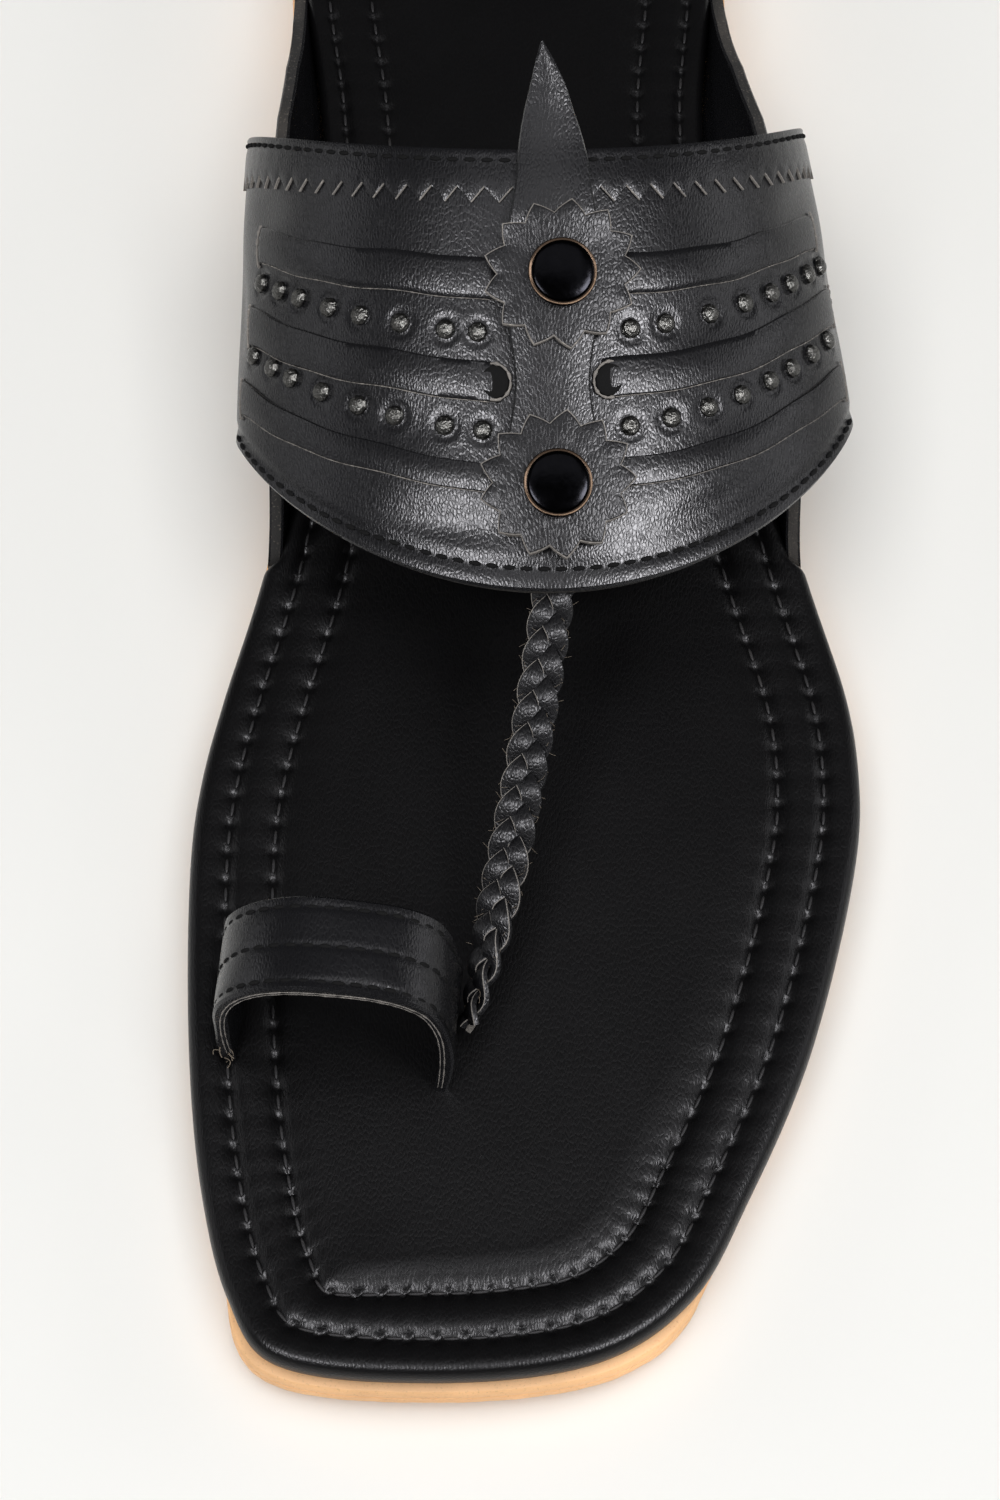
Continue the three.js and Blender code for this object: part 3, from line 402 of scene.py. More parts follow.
class Shape:
    """Points and faces of one piece, gathered from several parts"""

    def __init__(self):
        self.points = []
        self.faces = []
        self.slots = []
        self.count = 0

    def add(self, points, faces, slots):
        points = np.asarray(points, float).reshape(-1, 3)
        self.points.append(points)
        self.faces += [[int(i) + self.count for i in face] for face in faces]
        self.slots += list(slots)
        self.count += len(points)

    def sheet(self, top, under, sides=(1, 1, 1, 1), under_slot=0):
        """A closed sheet between two grids, with slots for its first row, last column, last row and
        first column of cut edges"""
        rows, columns = top.shape[:2]
        index = np.arange(rows * columns).reshape(rows, columns)
        back = index + rows * columns
        front_faces = grid_quads(index)
        back_faces = grid_quads(back)[:, ::-1]
        loop = np.concatenate([index[0, :-1], index[:-1, -1], index[-1, :0:-1], index[:0:-1, 0]])
        ahead = np.roll(loop, -1)
        step = rows * columns
        side_faces = np.stack([loop, loop + step, ahead + step, ahead], -1)
        faces = np.vstack([front_faces, back_faces, side_faces])
        slots = [0] * len(front_faces) + [under_slot] * len(back_faces)
        for slot, count in zip(sides, (columns, rows, columns, rows)):
            slots += [slot] * (count - 1)
        self.add(np.concatenate([top.reshape(-1, 3), under.reshape(-1, 3)]), faces, slots)

    def rings(self, rings, slots, zipped=False):
        """A solid from rings of points, each ring anticlockwise seen from above, lowest first; a zipped
        one closes its last ring side to side from the toe"""
        grid = np.asarray(rings)
        rows, count = grid.shape[:2]
        index = closed_index(rows, count)
        faces = grid_quads(index).tolist()
        marks = [slots[k] for k in range(rows - 1) for _ in range(count)]
        faces.append(index[0, :-1][::-1].tolist())
        marks.append(slots[0])
        last = [index[-1, :-1].tolist()]
        if zipped:
            last = zip_sides(grid[-1, :, 1], rows * count - count)
        faces += last
        marks += [slots[-1]] * len(last)
        self.add(grid, faces, marks)

    def piece(self, name, finishes, replaces=(), slot="grained_black_leather", sharp=38):
        """The finished object, with one material for each named finish"""
        mesh = bpy.data.meshes.new(name)
        mesh.from_pydata(to_metres(np.vstack(self.points)).tolist(), [], self.faces)
        for finish in finishes:
            mesh.materials.append(finish_of(finish))
        mesh.polygons.foreach_set("material_index", [int(s) for s in self.slots])
        mesh.shade_smooth()
        mesh.set_sharp_from_angle(angle=math.radians(sharp))
        mesh.update()
        return settle(bpy.data.objects.new(name, mesh), replaces)


def tube(shape, path, up, radius, slot=0, sides=8):
    """A thin round cord along a path"""
    way = unit(np.gradient(path, axis=0))
    side = unit(np.cross(up, way))
    up = np.cross(way, side)
    spin = full_turn(sides)
    reach = np.broadcast_to(radius, len(path))[:, None]
    grid = np.stack([path + (side * math.cos(a) + up * math.sin(a)) * reach for a in spin], 1)
    shape.rings(grid[:, ::-1], [slot] * (len(path) - 1))


def tube_on_band(shape, angles, shares, lift, radius, slot=0, sides=8):
    """A thin round lip along a line on the band"""
    tube(shape, band_at(angles, shares, lift), band_normal(angles, shares), radius, slot, sides)


def ragged(steps, size):
    """Uneven radius of a torn edge"""
    return size * (0.75 + 0.3 * np.sin(steps * 2.7) + 0.2 * np.sin(steps * 6.1 + 1))


def settle(obj, replaces=()):
    if obj.name not in bpy.context.scene.collection.objects:
        bpy.context.scene.collection.objects.link(obj)
    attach(obj, "root")
    if replaces:
        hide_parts(*replaces)
    return obj


def stepped(length, edge, count):
    """Shares from 0 to 1 with a close step at each end for a rolled edge"""
    inner = np.linspace(edge / length, 1 - edge / length, count)
    return np.concatenate([[0], inner, [1]])


def edge_drop(steps, drop):
    fall = np.zeros(len(steps))
    fall[[0, -1]] = drop
    return fall


def placing_tree():
    """Geometry Nodes tree that sets one rounded shape on each point, along its path and off its face"""
    tree = bpy.data.node_groups.new("shape_on_points", "GeometryNodeTree")
    sockets = [("Geometry", "Geometry", None), ("Length", "Float", MM), ("Width", "Float", MM),
               ("Height", "Float", MM), ("Segments", "Int", 8), ("Rings", "Int", 8),
               ("Smooth", "Bool", True), ("Material", "Material", None)]
    for name, kind, value in sockets:
        socket = tree.interface.new_socket(name, in_out="INPUT", socket_type="NodeSocket" + kind)
        if value is not None:
            socket.default_value = value
    tree.interface.new_socket("Geometry", in_out="OUTPUT", socket_type="NodeSocketGeometry")
    n = Nodes(tree)
    given, result = tree.nodes.new("NodeGroupInput").outputs, tree.nodes.new("NodeGroupOutput")
    ball = n.add("GeometryNodeMeshUVSphere",
                 {"Segments": given["Segments"], "Rings": given["Rings"], "Radius": 0.5})
    scale = n.add("ShaderNodeCombineXYZ",
                  {"X": given["Length"], "Y": given["Width"], "Z": given["Height"]})
    along, up = (n.add("GeometryNodeInputNamedAttribute", {"Name": name}, "Attribute",
                       data_type="FLOAT_VECTOR") for name in ("along", "up"))
    turn = n.add("FunctionNodeAlignRotationToVector", {"Vector": along}, axis="X")
    turn = n.add("FunctionNodeAlignRotationToVector", {"Vector": up, "Rotation": turn}, axis="Z",
                 pivot_axis="X")
    made = n.add("GeometryNodeInstanceOnPoints", {"Points": given["Geometry"], "Instance": ball,
                                                  "Rotation": turn, "Scale": scale})
    made = n.add("GeometryNodeRealizeInstances", {"Geometry": made})
    made = n.add("GeometryNodeSetShadeSmooth", {"Geometry": made, "Shade Smooth": given["Smooth"]})
    made = n.add("GeometryNodeSetMaterial", {"Geometry": made, "Material": given["Material"]})
    tree.links.new(made, result.inputs["Geometry"])
    return tree


def scatter(name, spots, size, finish, rounds=(8, 6), smooth=True):
    """Sets one rounded shape of a size on each spot, a spot being a place, a way along and a way up"""
    tree = bpy.data.node_groups.get("shape_on_points") or placing_tree()
    places, along, up = (np.concatenate([np.asarray(s[k], float) for s in spots]) for k in range(3))
    mesh = bpy.data.meshes.new(name + "_spots")
    mesh.from_pydata(to_metres(places).tolist(), [], [])
    for key, values in (("along", along), ("up", up)):
        mesh.attributes.new(key, "FLOAT_VECTOR", "POINT").data.foreach_set("vector", values.ravel())
    holder = bpy.data.objects.new(name + "_spots", mesh)
    bpy.context.scene.collection.objects.link(holder)
    modifier = holder.modifiers.new("shapes", "NODES")
    modifier.node_group = tree
    sockets = {s.name: s.identifier for s in tree.interface.items_tree if s.in_out == "INPUT"}
    for key, value in zip(("Length", "Width", "Height"), size):
        modifier[sockets[key]] = value * MM
    modifier[sockets["Segments"]], modifier[sockets["Rings"]] = rounds
    modifier[sockets["Smooth"]] = smooth
    modifier[sockets["Material"]] = finish_of(finish)
    graph = bpy.context.evaluated_depsgraph_get()
    made = bpy.data.meshes.new_from_object(holder.evaluated_get(graph))
    bpy.data.objects.remove(holder)
    made.name = name
    return settle(bpy.data.objects.new(name, made))


def spots_on(line, up, pitch, run=None):
    """Even spots along a line, with the line's way and the surface's way up at each"""
    line, up = np.asarray(line, float), np.asarray(up, float)
    run = run_along(line) if run is None else run
    count = max(1, int(round(run[-1] / pitch)))
    at = (np.arange(count) + 0.5) * run[-1] / count
    way = read_at(at + 0.3, run, line) - read_at(at - 0.3, run, line)
    return read_at(at, run, line), unit(way), read_at(at, run, up)


# Materials


class Nodes:
    """Short way to add a node with its settings and inputs, and get one of its outputs or itself"""

    def __init__(self, tree):
        self.tree = tree

    def add(self, kind, inputs=(), out=0, **settings):
        node = self.tree.nodes.new(kind)
        for key, value in settings.items():
            setattr(node, key, value)
        for key, value in dict(inputs).items():
            if isinstance(value, bpy.types.NodeSocket):
                self.tree.links.new(value, node.inputs[key])
            else:
                node.inputs[key].default_value = value
        return node if out is None else node.outputs[out]

    def maths(self, operation, a, b=0.0, clamp=False):
        return self.add("ShaderNodeMath", {0: a, 1: b}, operation=operation, use_clamp=clamp)

    def noise(self, place, scale, detail, out=0):
        return self.add("ShaderNodeTexNoise", {"Vector": place, "Scale": scale, "Detail": detail}, out)

    def mapped(self, value, start, end, low=0.0, high=1.0):
        return self.add("ShaderNodeMapRange", {"Value": value, "From Min": start, "From Max": end,
                                               "To Min": low, "To Max": high})

    def shades(self, factor, colour, other):
        return self.add("ShaderNodeMix", {0: factor, 6: colour, 7: other}, 2, data_type="RGBA")


def group(name, inputs, outputs, fill):
    tree = bpy.data.node_groups.get(name)
    if tree:
        return tree
    tree = bpy.data.node_groups.new(name, "ShaderNodeTree")
    for key, value in inputs.items():
        socket = tree.interface.new_socket(key, in_out="INPUT", socket_type="NodeSocketFloat")
        socket.default_value = value
    for key in outputs:
        tree.interface.new_socket(key, in_out="OUTPUT", socket_type="NodeSocketFloat")
    given, result = tree.nodes.new("NodeGroupInput"), tree.nodes.new("NodeGroupOutput")
    for key, value in fill(Nodes(tree), given.outputs).items():
        tree.links.new(value, result.inputs[key])
    return tree


def grain_group():
    """Pebbles with creases between them, fine pores, and a slow change of tone"""
    def fill(n, given):
        place = n.add("ShaderNodeTexCoord", out="Object")
        wander = n.noise(place, 260.0, 2.0, "Color")
        bent = n.add("ShaderNodeMix", {0: 0.0005, 4: place, 5: wander}, 1, data_type="VECTOR")
        drawn = n.add("ShaderNodeVectorMath", {0: bent, 1: (1.0, 0.42, 1.0)}, operation="MULTIPLY")
        cells = n.add("ShaderNodeTexVoronoi", {"Vector": drawn, "Scale": given["Pebbles"]},
                      feature="DISTANCE_TO_EDGE")
        pebble = n.maths("POWER", n.maths("MULTIPLY", cells, 3.2, True), 0.8)
        pores = n.noise(place, 3500.0, 3.0)
        folds = n.noise(place, given["Folds"], 4.0)
        height = n.maths("ADD", n.maths("MULTIPLY", pebble, given["Pebble depth"]),
                         n.maths("MULTIPLY", pores, 0.06))
        height = n.maths("ADD", height, n.maths("MULTIPLY", folds, 0.9))
        return {"Height": height, "Pebble": pebble, "Tone": n.noise(place, 55.0, 5.0)}
    return group("leather_grain", {"Pebbles": 1500.0, "Folds": 260.0, "Pebble depth": 0.8},
                 ("Height", "Pebble", "Tone"), fill)


def wear_group():
    """Mask of pale dust and rubbing, from 0 on clean leather to 1"""
    def fill(n, given):
        place = n.add("ShaderNodeTexCoord", out="Object")
        broad = n.mapped(n.noise(place, 40.0, 6.0), 0.5, 0.75)
        specks = n.mapped(n.noise(place, 2600.0, 2.0), 0.6, 0.72)
        both = n.maths("ADD", n.maths("MULTIPLY", broad, 0.5), specks, True)
        return {"Mask": n.maths("MULTIPLY", both, given["Amount"], True)}
    return group("dust_and_rub", {"Amount": 0.3}, ("Mask",), fill)


def material(name):
    """An empty material with its helper and its shader"""
    made = bpy.data.materials.new(name)
    made.use_nodes = True
    made.node_tree.nodes.clear()
    n = Nodes(made.node_tree)
    shader = n.add("ShaderNodeBsdfPrincipled")
    n.add("ShaderNodeOutputMaterial", {"Surface": shader}, None)
    return made, n, shader.node


def join(n, shader, colour, roughness, height, depth):
    """Plugs a colour, a roughness and a bump of some depth in millimetres into a shader"""
    bump = n.add("ShaderNodeBump", {"Height": height, "Strength": 1.0, "Distance": depth * MM})
    for key, value in (("Base Color", colour), ("Roughness", roughness), ("Normal", bump)):
        n.tree.links.new(value, shader.inputs[key])


# Colour, colour where worn, roughness, pebbles and folds to the metre, depth of the pebbles, bump in
# millimetres, gloss and dust. A word for the colour is one of the finishes; the strap's leathers add
# their roughness to the finish's own.
LEATHERS = {
    "strap_grain": ("leather", (0.05, 0.05, 0.052), 0.0, 2150.0, 260.0, 1.0, 0.021, 0.31, 0.05),
    "rosette_grain": ("leather", (0.05, 0.05, 0.052), 0.03, 2000.0, 260.0, 1.0, 0.026, 0.21, 0.05),
    "strand_leather": ("leather", (0.08, 0.078, 0.075), 0.1, 1900.0, 260.0, 1.0, 0.055, 0.36, 0.1),
    "insole_wrap": ("insole", (0.03, 0.03, 0.03), 0.33, 2000.0, 120.0, 0.8, 0.028, 0.2, 0.05),
    "tan_sole_leather": ("sole", (0.3, 0.16, 0.07), 0.6, 1800.0, 260.0, 0.3, 0.05, 0.3, 0.25),
    "raw_leather_edge": ((0.16, 0.147, 0.135), (0.5, 0.46, 0.41), 0.7, 2400.0, 260.0, 0.4, 0.06, 0.3, 0.7),
    "dyed_leather_edge": ((0.02, 0.019, 0.018), (0.22, 0.19, 0.16), 0.65, 2400.0, 260.0, 0.4, 0.06, 0.3,
                          0.5),
    # Near-black matt leather: painted shade for the disc in each round notch, and the dark thread of the
    # strap stitches
    "slot_inside": ((0.004, 0.004, 0.004), (0.02, 0.02, 0.02), 0.85, 1900.0, 260.0, 0.6, 0.02, 0.1, 0.0),
    "black_thread": ((0.008, 0.0075, 0.008), (0.08, 0.07, 0.06), 0.6, 3600.0, 260.0, 0.6, 0.03, 0.3, 0.2),
    "frayed_thread": ((0.16, 0.13, 0.1), (0.4, 0.36, 0.3), 0.8, 3600.0, 260.0, 0.6, 0.05, 0.2, 0.5),
}
# Colour, roughness, scratches to the metre and their depth in millimetres
METALS = {
    "cap_enamel": ((0.005, 0.005, 0.006), 0.14, 900.0, 0.02),
    "copper_rim": ((0.5, 0.34, 0.24), 0.2, 900.0, 0.02),
    "dark_stud": ((0.1, 0.098, 0.094), 0.26, 1500.0, 0.3),
}


def leather(name, colour, worn, roughness, pebbles, folds, depth, bump, gloss, dust):
    look = bpy.context.scene.sandal_finish
    if colour == "leather":
        roughness += look.gloss
    if isinstance(colour, str):
        colour = getattr(look, colour)[:]
    made, n, shader = material(name)
    grain = n.add("ShaderNodeGroup", {"Pebbles": pebbles, "Folds": folds, "Pebble depth": depth},
                  node_tree=grain_group()).node.outputs
    rub = n.add("ShaderNodeGroup", {"Amount": dust}, node_tree=wear_group())
    toned = n.mapped(grain["Tone"], 0.3, 0.7, 0.0, 0.6)
    base = n.shades(toned, (*colour, 1), (*[c * 1.7 for c in colour], 1))
    base = n.shades(rub, base, (*worn, 1))
    rough = n.mapped(grain["Pebble"], 0.0, 1.0, roughness + 0.05 * depth, roughness)
    join(n, shader, base, rough, grain["Height"], bump)
    shader.inputs["Specular IOR Level"].default_value = gloss
    shader.inputs["Specular Tint"].default_value = (0.97, 0.96, 1.0, 1)
    return made


def metal(name, colour, roughness, scratches, depth):
    made, n, shader = material(name)
    place = n.add("ShaderNodeTexCoord", out="Object")
    noise = n.noise(place, scratches, 5.0)
    rough = n.mapped(noise, 0.0, 1.0, roughness - 0.05, roughness + 0.1)
    tint = n.shades(noise, (*colour, 1), (*[c * 0.6 for c in colour], 1))
    join(n, shader, tint, rough, noise, depth)
    shader.inputs["Metallic"].default_value = 1.0
    return made


def finish_of(name):
    """A leather, thread or metal from the tables, made when it is first asked for"""
    if name in bpy.data.materials:
        return bpy.data.materials[name]
    return metal(name, *METALS[name]) if name in METALS else leather(name, *LEATHERS[name])


# Sizes and colours a user would change


def length(name, description, default):
    return bpy.props.FloatProperty(name=name, description=description, default=default * MM, min=0.0,
                                   precision=4, unit="LENGTH", subtype="DISTANCE")


def colour(name, description, default):
    return bpy.props.FloatVectorProperty(name=name, description=description, default=default, size=3,
                                         min=0.0, max=1.0, subtype="COLOR")


class SandalSizes(bpy.types.PropertyGroup):
    """Sizes of the sandal's fine parts"""

    sole_pitch: length("Sole stitch pitch", "Distance between stitches on the footbed", 4.8)
    edge_pitch: length("Edge stitch pitch", "Distance between stitches along the straps", 2.6)
    outer_row: length("Outer row inset", "Outer stitch row in from the sole's edge", 5.7)
    inner_row: length("Inner row inset", "Inner stitch row in from the sole's edge", 12.7)
    channel: length("Channel depth", "Depth of the stitch channels", 0.5)
    crown: length("Pad crown", "Rise of the padded centre", 0.65)
    stud: length("Stud width", "Width of the studs between the strips", 3.1)
    braid_strand: length("Braid strand width", "Width of one strand of the braid", 3.0)
    braid_spread: length("Braid spread", "How far a strand swings from the braid's middle", 1.75)


class SandalFinish(bpy.types.PropertyGroup):
    """Colours and gloss of the leathers"""

    leather: colour("Strap leather", "Colour of the grained leather", (0.0042, 0.0042, 0.005))
    insole: colour("Insole leather", "Colour of the footbed's leather", (0.002, 0.0019, 0.0021))
    sole: colour("Sole edge", "Colour of the outsole's cut edge", (0.8, 0.47, 0.23))
    gloss: bpy.props.FloatProperty(name="Roughness", description="Roughness of the strap leather",
                                   default=0.25, min=0.0, max=1.0, subtype="FACTOR")


def size(name):
    return getattr(bpy.context.scene.sandal_sizes, name) / MM


# Pieces


# Inset and height of the rings of the outsole's edge, with a groove halfway, and of the lift's layers
OUTSOLE_PROFILE = [(0.7, 0), (0.25, 0.15), (0.0, 0.7), (-0.05, 2.3), (0.12, 2.5), (-0.02, 2.75),
                   (0.02, 4.3), (0.25, 4.8), (0.7, OUTSOLE_THICKNESS)]
LIFT_PROFILE = [(0.9, 0), (0.45, 0.3), (0.4, 2.75), (0.62, 2.95), (0.42, 3.15), (0.4, 5.7), (0.62, 5.9),
                (0.42, 6.1), (0.4, 8.6), (0.75, HEEL_LIFT)]
BREAST_AT = 0.735
BREAST_HOLLOW = 8.0
# Inset and share of the thickness of the rings of the footbed's rolled edge
FOOTBED_ROLL = [(1.2, 0.0), (0.4, 0.1), (0.08, 0.28), (0.0, 0.45), (0.06, 0.6), (0.25, 0.74), (0.6, 0.86),
                (1.1, 0.94), (1.7, 0.98)]
FOOTBED_BASE = OUTSOLE_THICKNESS + SEAT_GAP
FOOTBED_FLAT = FOOTBED_BASE + FOOTBED_THICKNESS
PAD_START = 16.1
PAD_REST = 19.0


class SANDAL_OT_sole(bpy.types.Operator):
    """Makes the outsole and the stacked heel lift"""

    bl_idname = "sandal.sole"
    bl_label = "Outsole and heel lift"

    def execute(self, context):
        ripple = 0.03 * np.sin(RUN * 0.9) + 0.02 * np.sin(RUN * 2.3 + 1)
        shape = Shape()
        shape.rings([ring(inset - WELT_AT + ripple * (0 < height < OUTSOLE_THICKNESS), height)
                     for inset, height in OUTSOLE_PROFILE], [0] * (len(OUTSOLE_PROFILE) - 1))
        shape.piece("sole_outsole", ["tan_sole_leather"], ["outsole"], "natural_sole_leather")
        breast = BREAST_AT * SOLE_LENGTH
        keep = EDGE[:, 1] >= breast
        rings = []
        for inset, height in LIFT_PROFILE:
            flat = (EDGE + WAY * (inset - WELT_AT)[:, None])[keep]
            t = np.linspace(0, 1, 40)[1:-1, None]
            start, end = np.array([flat[-1, 0], breast + inset]), np.array([flat[0, 0], breast + inset])
            bend = (start + end) / 2 + [0, BREAST_HOLLOW]
            hollow = (1 - t) ** 2 * start + 2 * t * (1 - t) * bend + t * t * end
            loop = np.vstack([flat, start, hollow, end])
            rings.append(np.column_stack([loop, np.full(len(loop), float(height))]))
        shape = Shape()
        shape.rings(rings, [0] * (len(LIFT_PROFILE) - 1))
        shape.piece("sole_heel_lift", ["tan_sole_leather"], ["heel_lift"], "natural_sole_leather")
        return {"FINISHED"}


def footbed_height(inset):
    """Height of the footbed's top over its flat level, at an inset from the sole's edge"""
    outer, inner, depth = size("outer_row"), size("inner_row"), size("channel")
    stitches = round(RING_LENGTH / size("sole_pitch"))
    hole = 0.5 + 0.5 * np.cos(RUN / RING_LENGTH * stitches * 2 * math.pi)
    ridge = 0.35 * np.sin(np.clip((inset - outer) / (inner - outer), 0, 1) * math.pi)
    rise = ridge + size("crown") * smooth_step(inner, inner + 6, inset)
    for row in (outer, inner):
        channel = bump_at(inset, row, 1.15) * depth + bump_at(inset, row, 2.2) * 0.2
        pull = bump_at(inset, row, 0.8) * hole**6 * 0.55
        pucker = bump_at(inset, row, 2.6) * (0.5 - hole) * 0.1
        rise = rise - channel - pull + pucker
    return rise


class SANDAL_OT_footbed(bpy.types.Operator):
    """Makes the wrapped footbed with its stitch channels and padded centre"""

    bl_idname = "sandal.footbed"
    bl_label = "Footbed"

    def execute(self, context):
        along = EDGE[:, 1] / SOLE_LENGTH
        notch = (EAR_WALL - 0.3) * smooth_step(0.468, 0.478, along) * (1 - smooth_step(0.867, 0.877, along))
        outer = size("outer_row")
        place = lambda inset: notch * (1 - inset / outer) * (inset < outer) + inset
        rings = [ring(place(inset), FOOTBED_BASE + up * FOOTBED_THICKNESS) for inset, up in FOOTBED_ROLL]
        for inset in np.arange(2.4, PAD_START, 0.45):
            rings.append(ring(place(inset), FOOTBED_FLAT + footbed_height(inset)))
        rest = FOOTBED_FLAT + footbed_height(PAD_REST)
        for share in (0.06, 0.14, 0.25, 0.37, 0.5, 0.62, 0.74, 0.85, 0.94, 0.985):
            flat = ring(PAD_START, 0, share)
            swell = np.sin(flat[:, 1] / 15) * np.cos(flat[:, 0] / 12 + 0.4) * smooth_step(0, 0.5, share)
            height = rest + 0.25 * math.sin(share * math.pi / 2) + 0.1 * swell
            rings.append(ring(PAD_START, height, share))
        shape = Shape()
        shape.rings(rings, [0] * (len(rings) - 1), zipped=True)
        piece = shape.piece("footbed_wrap", ["insole_wrap"], ["footbed"], "smooth_black_leather", 60)
        return {"FINISHED"}


NOTCH_AT = 0.465
STRIP_WIDTH = 5.5
OVERLAY_END = 85.0
OVERLAY_AT = 0.89
TOOTH_PITCH = 5.0
TOOTH_HEIGHT = 2.4
OVERLAY_LIFT = 0.42


class SANDAL_OT_band(bpy.types.Operator):
    """Makes the vamp band with its raised strips and pinked overlay"""

    bl_idname = "sandal.band"
    bl_label = "Vamp band"

    def execute(self, context):
        angles = np.linspace(-SHOULDER - FLANK_TURN, SHOULDER + FLANK_TURN, 340)
        shares = stepped(BAND_LONG, 0.4, 118)
        drop = edge_drop(shares, 0.4)[:, None]
        face = lambda lift: band_at(angles[None, :], shares[:, None], lift)
        far = (shares * BAND_LONG)[:, None]
        fold = -0.25 * bump_at(far, 3.1, 1.1) - 0.25 * bump_at(far, 60.3, 1.0)
        pushed = mounds(angles[None, :], shares[:, None])
        shape = Shape()
        shape.sheet(face(fold - drop + pushed), face(-STRAP_WALL + drop))
        shape.piece("upper_vamp_band", ["strap_grain", "dyed_leather_edge"], ["upper"])
        shape = Shape()
        for strip in STRIPS:
            self.strip(shape, *strip[:4], -1, strip[4])
            self.strip(shape, *strip[:4], 1, strip[5])
        shape.piece("upper_raised_strips", ["strap_grain", "raw_leather_edge", "dyed_leather_edge"])
        shape = Shape()
        self.overlay(shape)
        self.lips()
        shape.piece("upper_rear_overlay", ["strap_grain", "raw_leather_edge"])
        return {"FINISHED"}

    def lips(self):
        """Raw lips of the strips' slots and the centre's round notches, and a near-black disc in each notch
        as painted shade
        """
        shape = Shape()
        turn = np.linspace(-0.5 * math.pi, 0.5 * math.pi, 20)
        for _, _, low, high, inner_end, outer_end in STRIPS:
            for side, end in ((-1, inner_end), (1, outer_end)):
                middle, half = (low + high) / 2, (high - low) / 2 + 0.008
                angles = end - side * 1.2 * (1 - np.cos(turn))
                tube_on_band(shape, angles, middle + half * np.sin(turn), 0.3, ragged(turn * 4, 0.26))
        for side in (-1, 1):
            middle = CENTRE + side * (CENTRE_WIDTH / 2 + 1.7)
            across = middle - side * 2.4 * np.cos(turn * 1.15)
            shares = NOTCH_AT + 0.041 * np.sin(turn * 1.15)
            tube_on_band(shape, angle_at(across, shares), shares, LAYER, ragged(turn * 5 + side, 0.27))
            # Painted shade: a flat near-black disc fills the notch where its hollow falls in shade
            spin = full_turn(40)
            disc = []
            for reach, lift in ((1.0, -0.3), (1.0, LAYER - 0.1), (0.9, LAYER + 0.12), (0.45, LAYER + 0.08)):
                across = middle + 2.1 * reach * np.cos(spin)
                shares = NOTCH_AT + 0.038 * reach * np.sin(spin)
                disc.append(band_at(angle_at(across, shares), shares, lift))
            shape.rings(disc, [1] * 3)
        shape.piece("upper_slot_lips", ["raw_leather_edge", "slot_inside"], sharp=70)

    def strip(self, shape, low_centre, high_centre, low_end, high_end, side, end):
        """A raised strip from under the centre strap to its slot, with a frayed edge at its front"""
        start = float(angle_at(CENTRE + side * (CENTRE_WIDTH / 2 - 0.6), low_centre))
        run = np.linspace(0, 1, 110)
        if side < 0:
            run = run[::-1]
        angles = (start + (end - start) * run)[None, :]
        low = low_centre + (low_end - low_centre) * run**2
        high = high_centre + (high_end - high_centre) * run**2
        wave = 0.004 * np.sin(run * 9 + side) + 0.002 * np.sin(run * 23)
        across = stepped(STRIP_WIDTH, 0.2, 8)[:, None]
        shares = low + (high - low) * across + wave
        crown = 0.15 * np.sin(across * math.pi) - edge_drop(across[:, 0], 0.18)[:, None]
        tuck = 1.1 * smooth_step(0.965, 1, run) + 0.9 * (1 - smooth_step(0, 0.05, run))
        top = band_at(angles, shares, LAYER + crown - tuck)
        shape.sheet(top, band_at(angles, shares, -1.2 + 0 * crown), sides=(1, 0, 2, 0))
        near = slice(6, -6)
        tube_on_band(shape, angles[0, near], shares[0, near] - 0.001, (LAYER - 0.1 - tuck)[near],
                     ragged(np.arange(len(run)) * 0.9, 0.075)[near], 1, 6)

    def overlay(self, shape):
        """The layer along the rear edge with its pinked front, and pale cut faces on the teeth's lit flanks
        only, as painted highlight
        """
        teeth, half_tooth = round(2 * OVERLAY_END / TOOTH_PITCH), 3
        tooth = np.linspace(0, 2 * teeth, 2 * teeth * half_tooth + 1)
        angles = -OVERLAY_END + tooth / (2 * teeth) * 2 * OVERLAY_END
        line = OVERLAY_AT - 0.06 * (np.abs(angles) / SHOULDER) ** 2
        saw = np.abs((tooth + 1) % 2 - 1)
        low = line + (saw - 0.5) * TOOTH_HEIGHT / band_length(0, OVERLAY_AT)
        across = np.array([0, 0.06, 0.3, 0.6, 0.85, 0.97, 1])[:, None]
        shares = low + (0.999 - low) * across
        drop = edge_drop(across[:, 0], 0.1)[:, None]
        fold = 0.22 * bump_at((1 - shares) * BAND_LONG, 1.7, 0.9)
        top = band_at(angles[None, :], shares, OVERLAY_LIFT - drop - fold)
        shape.sheet(top, band_at(angles[None, :], shares, -0.8))
        # Painted highlight: the pale raw-edge line goes only on the flank of each tooth that faces the
        # light, not on the other
        for start in range(0, len(angles) - half_tooth, half_tooth):
            near = slice(start, start + half_tooth + 1)
            if (low[near][-1] - low[near][0]) * angles[start] < 0:
                tube_on_band(shape, angles[near], low[near], 0.34, 0.12, 1, 6)


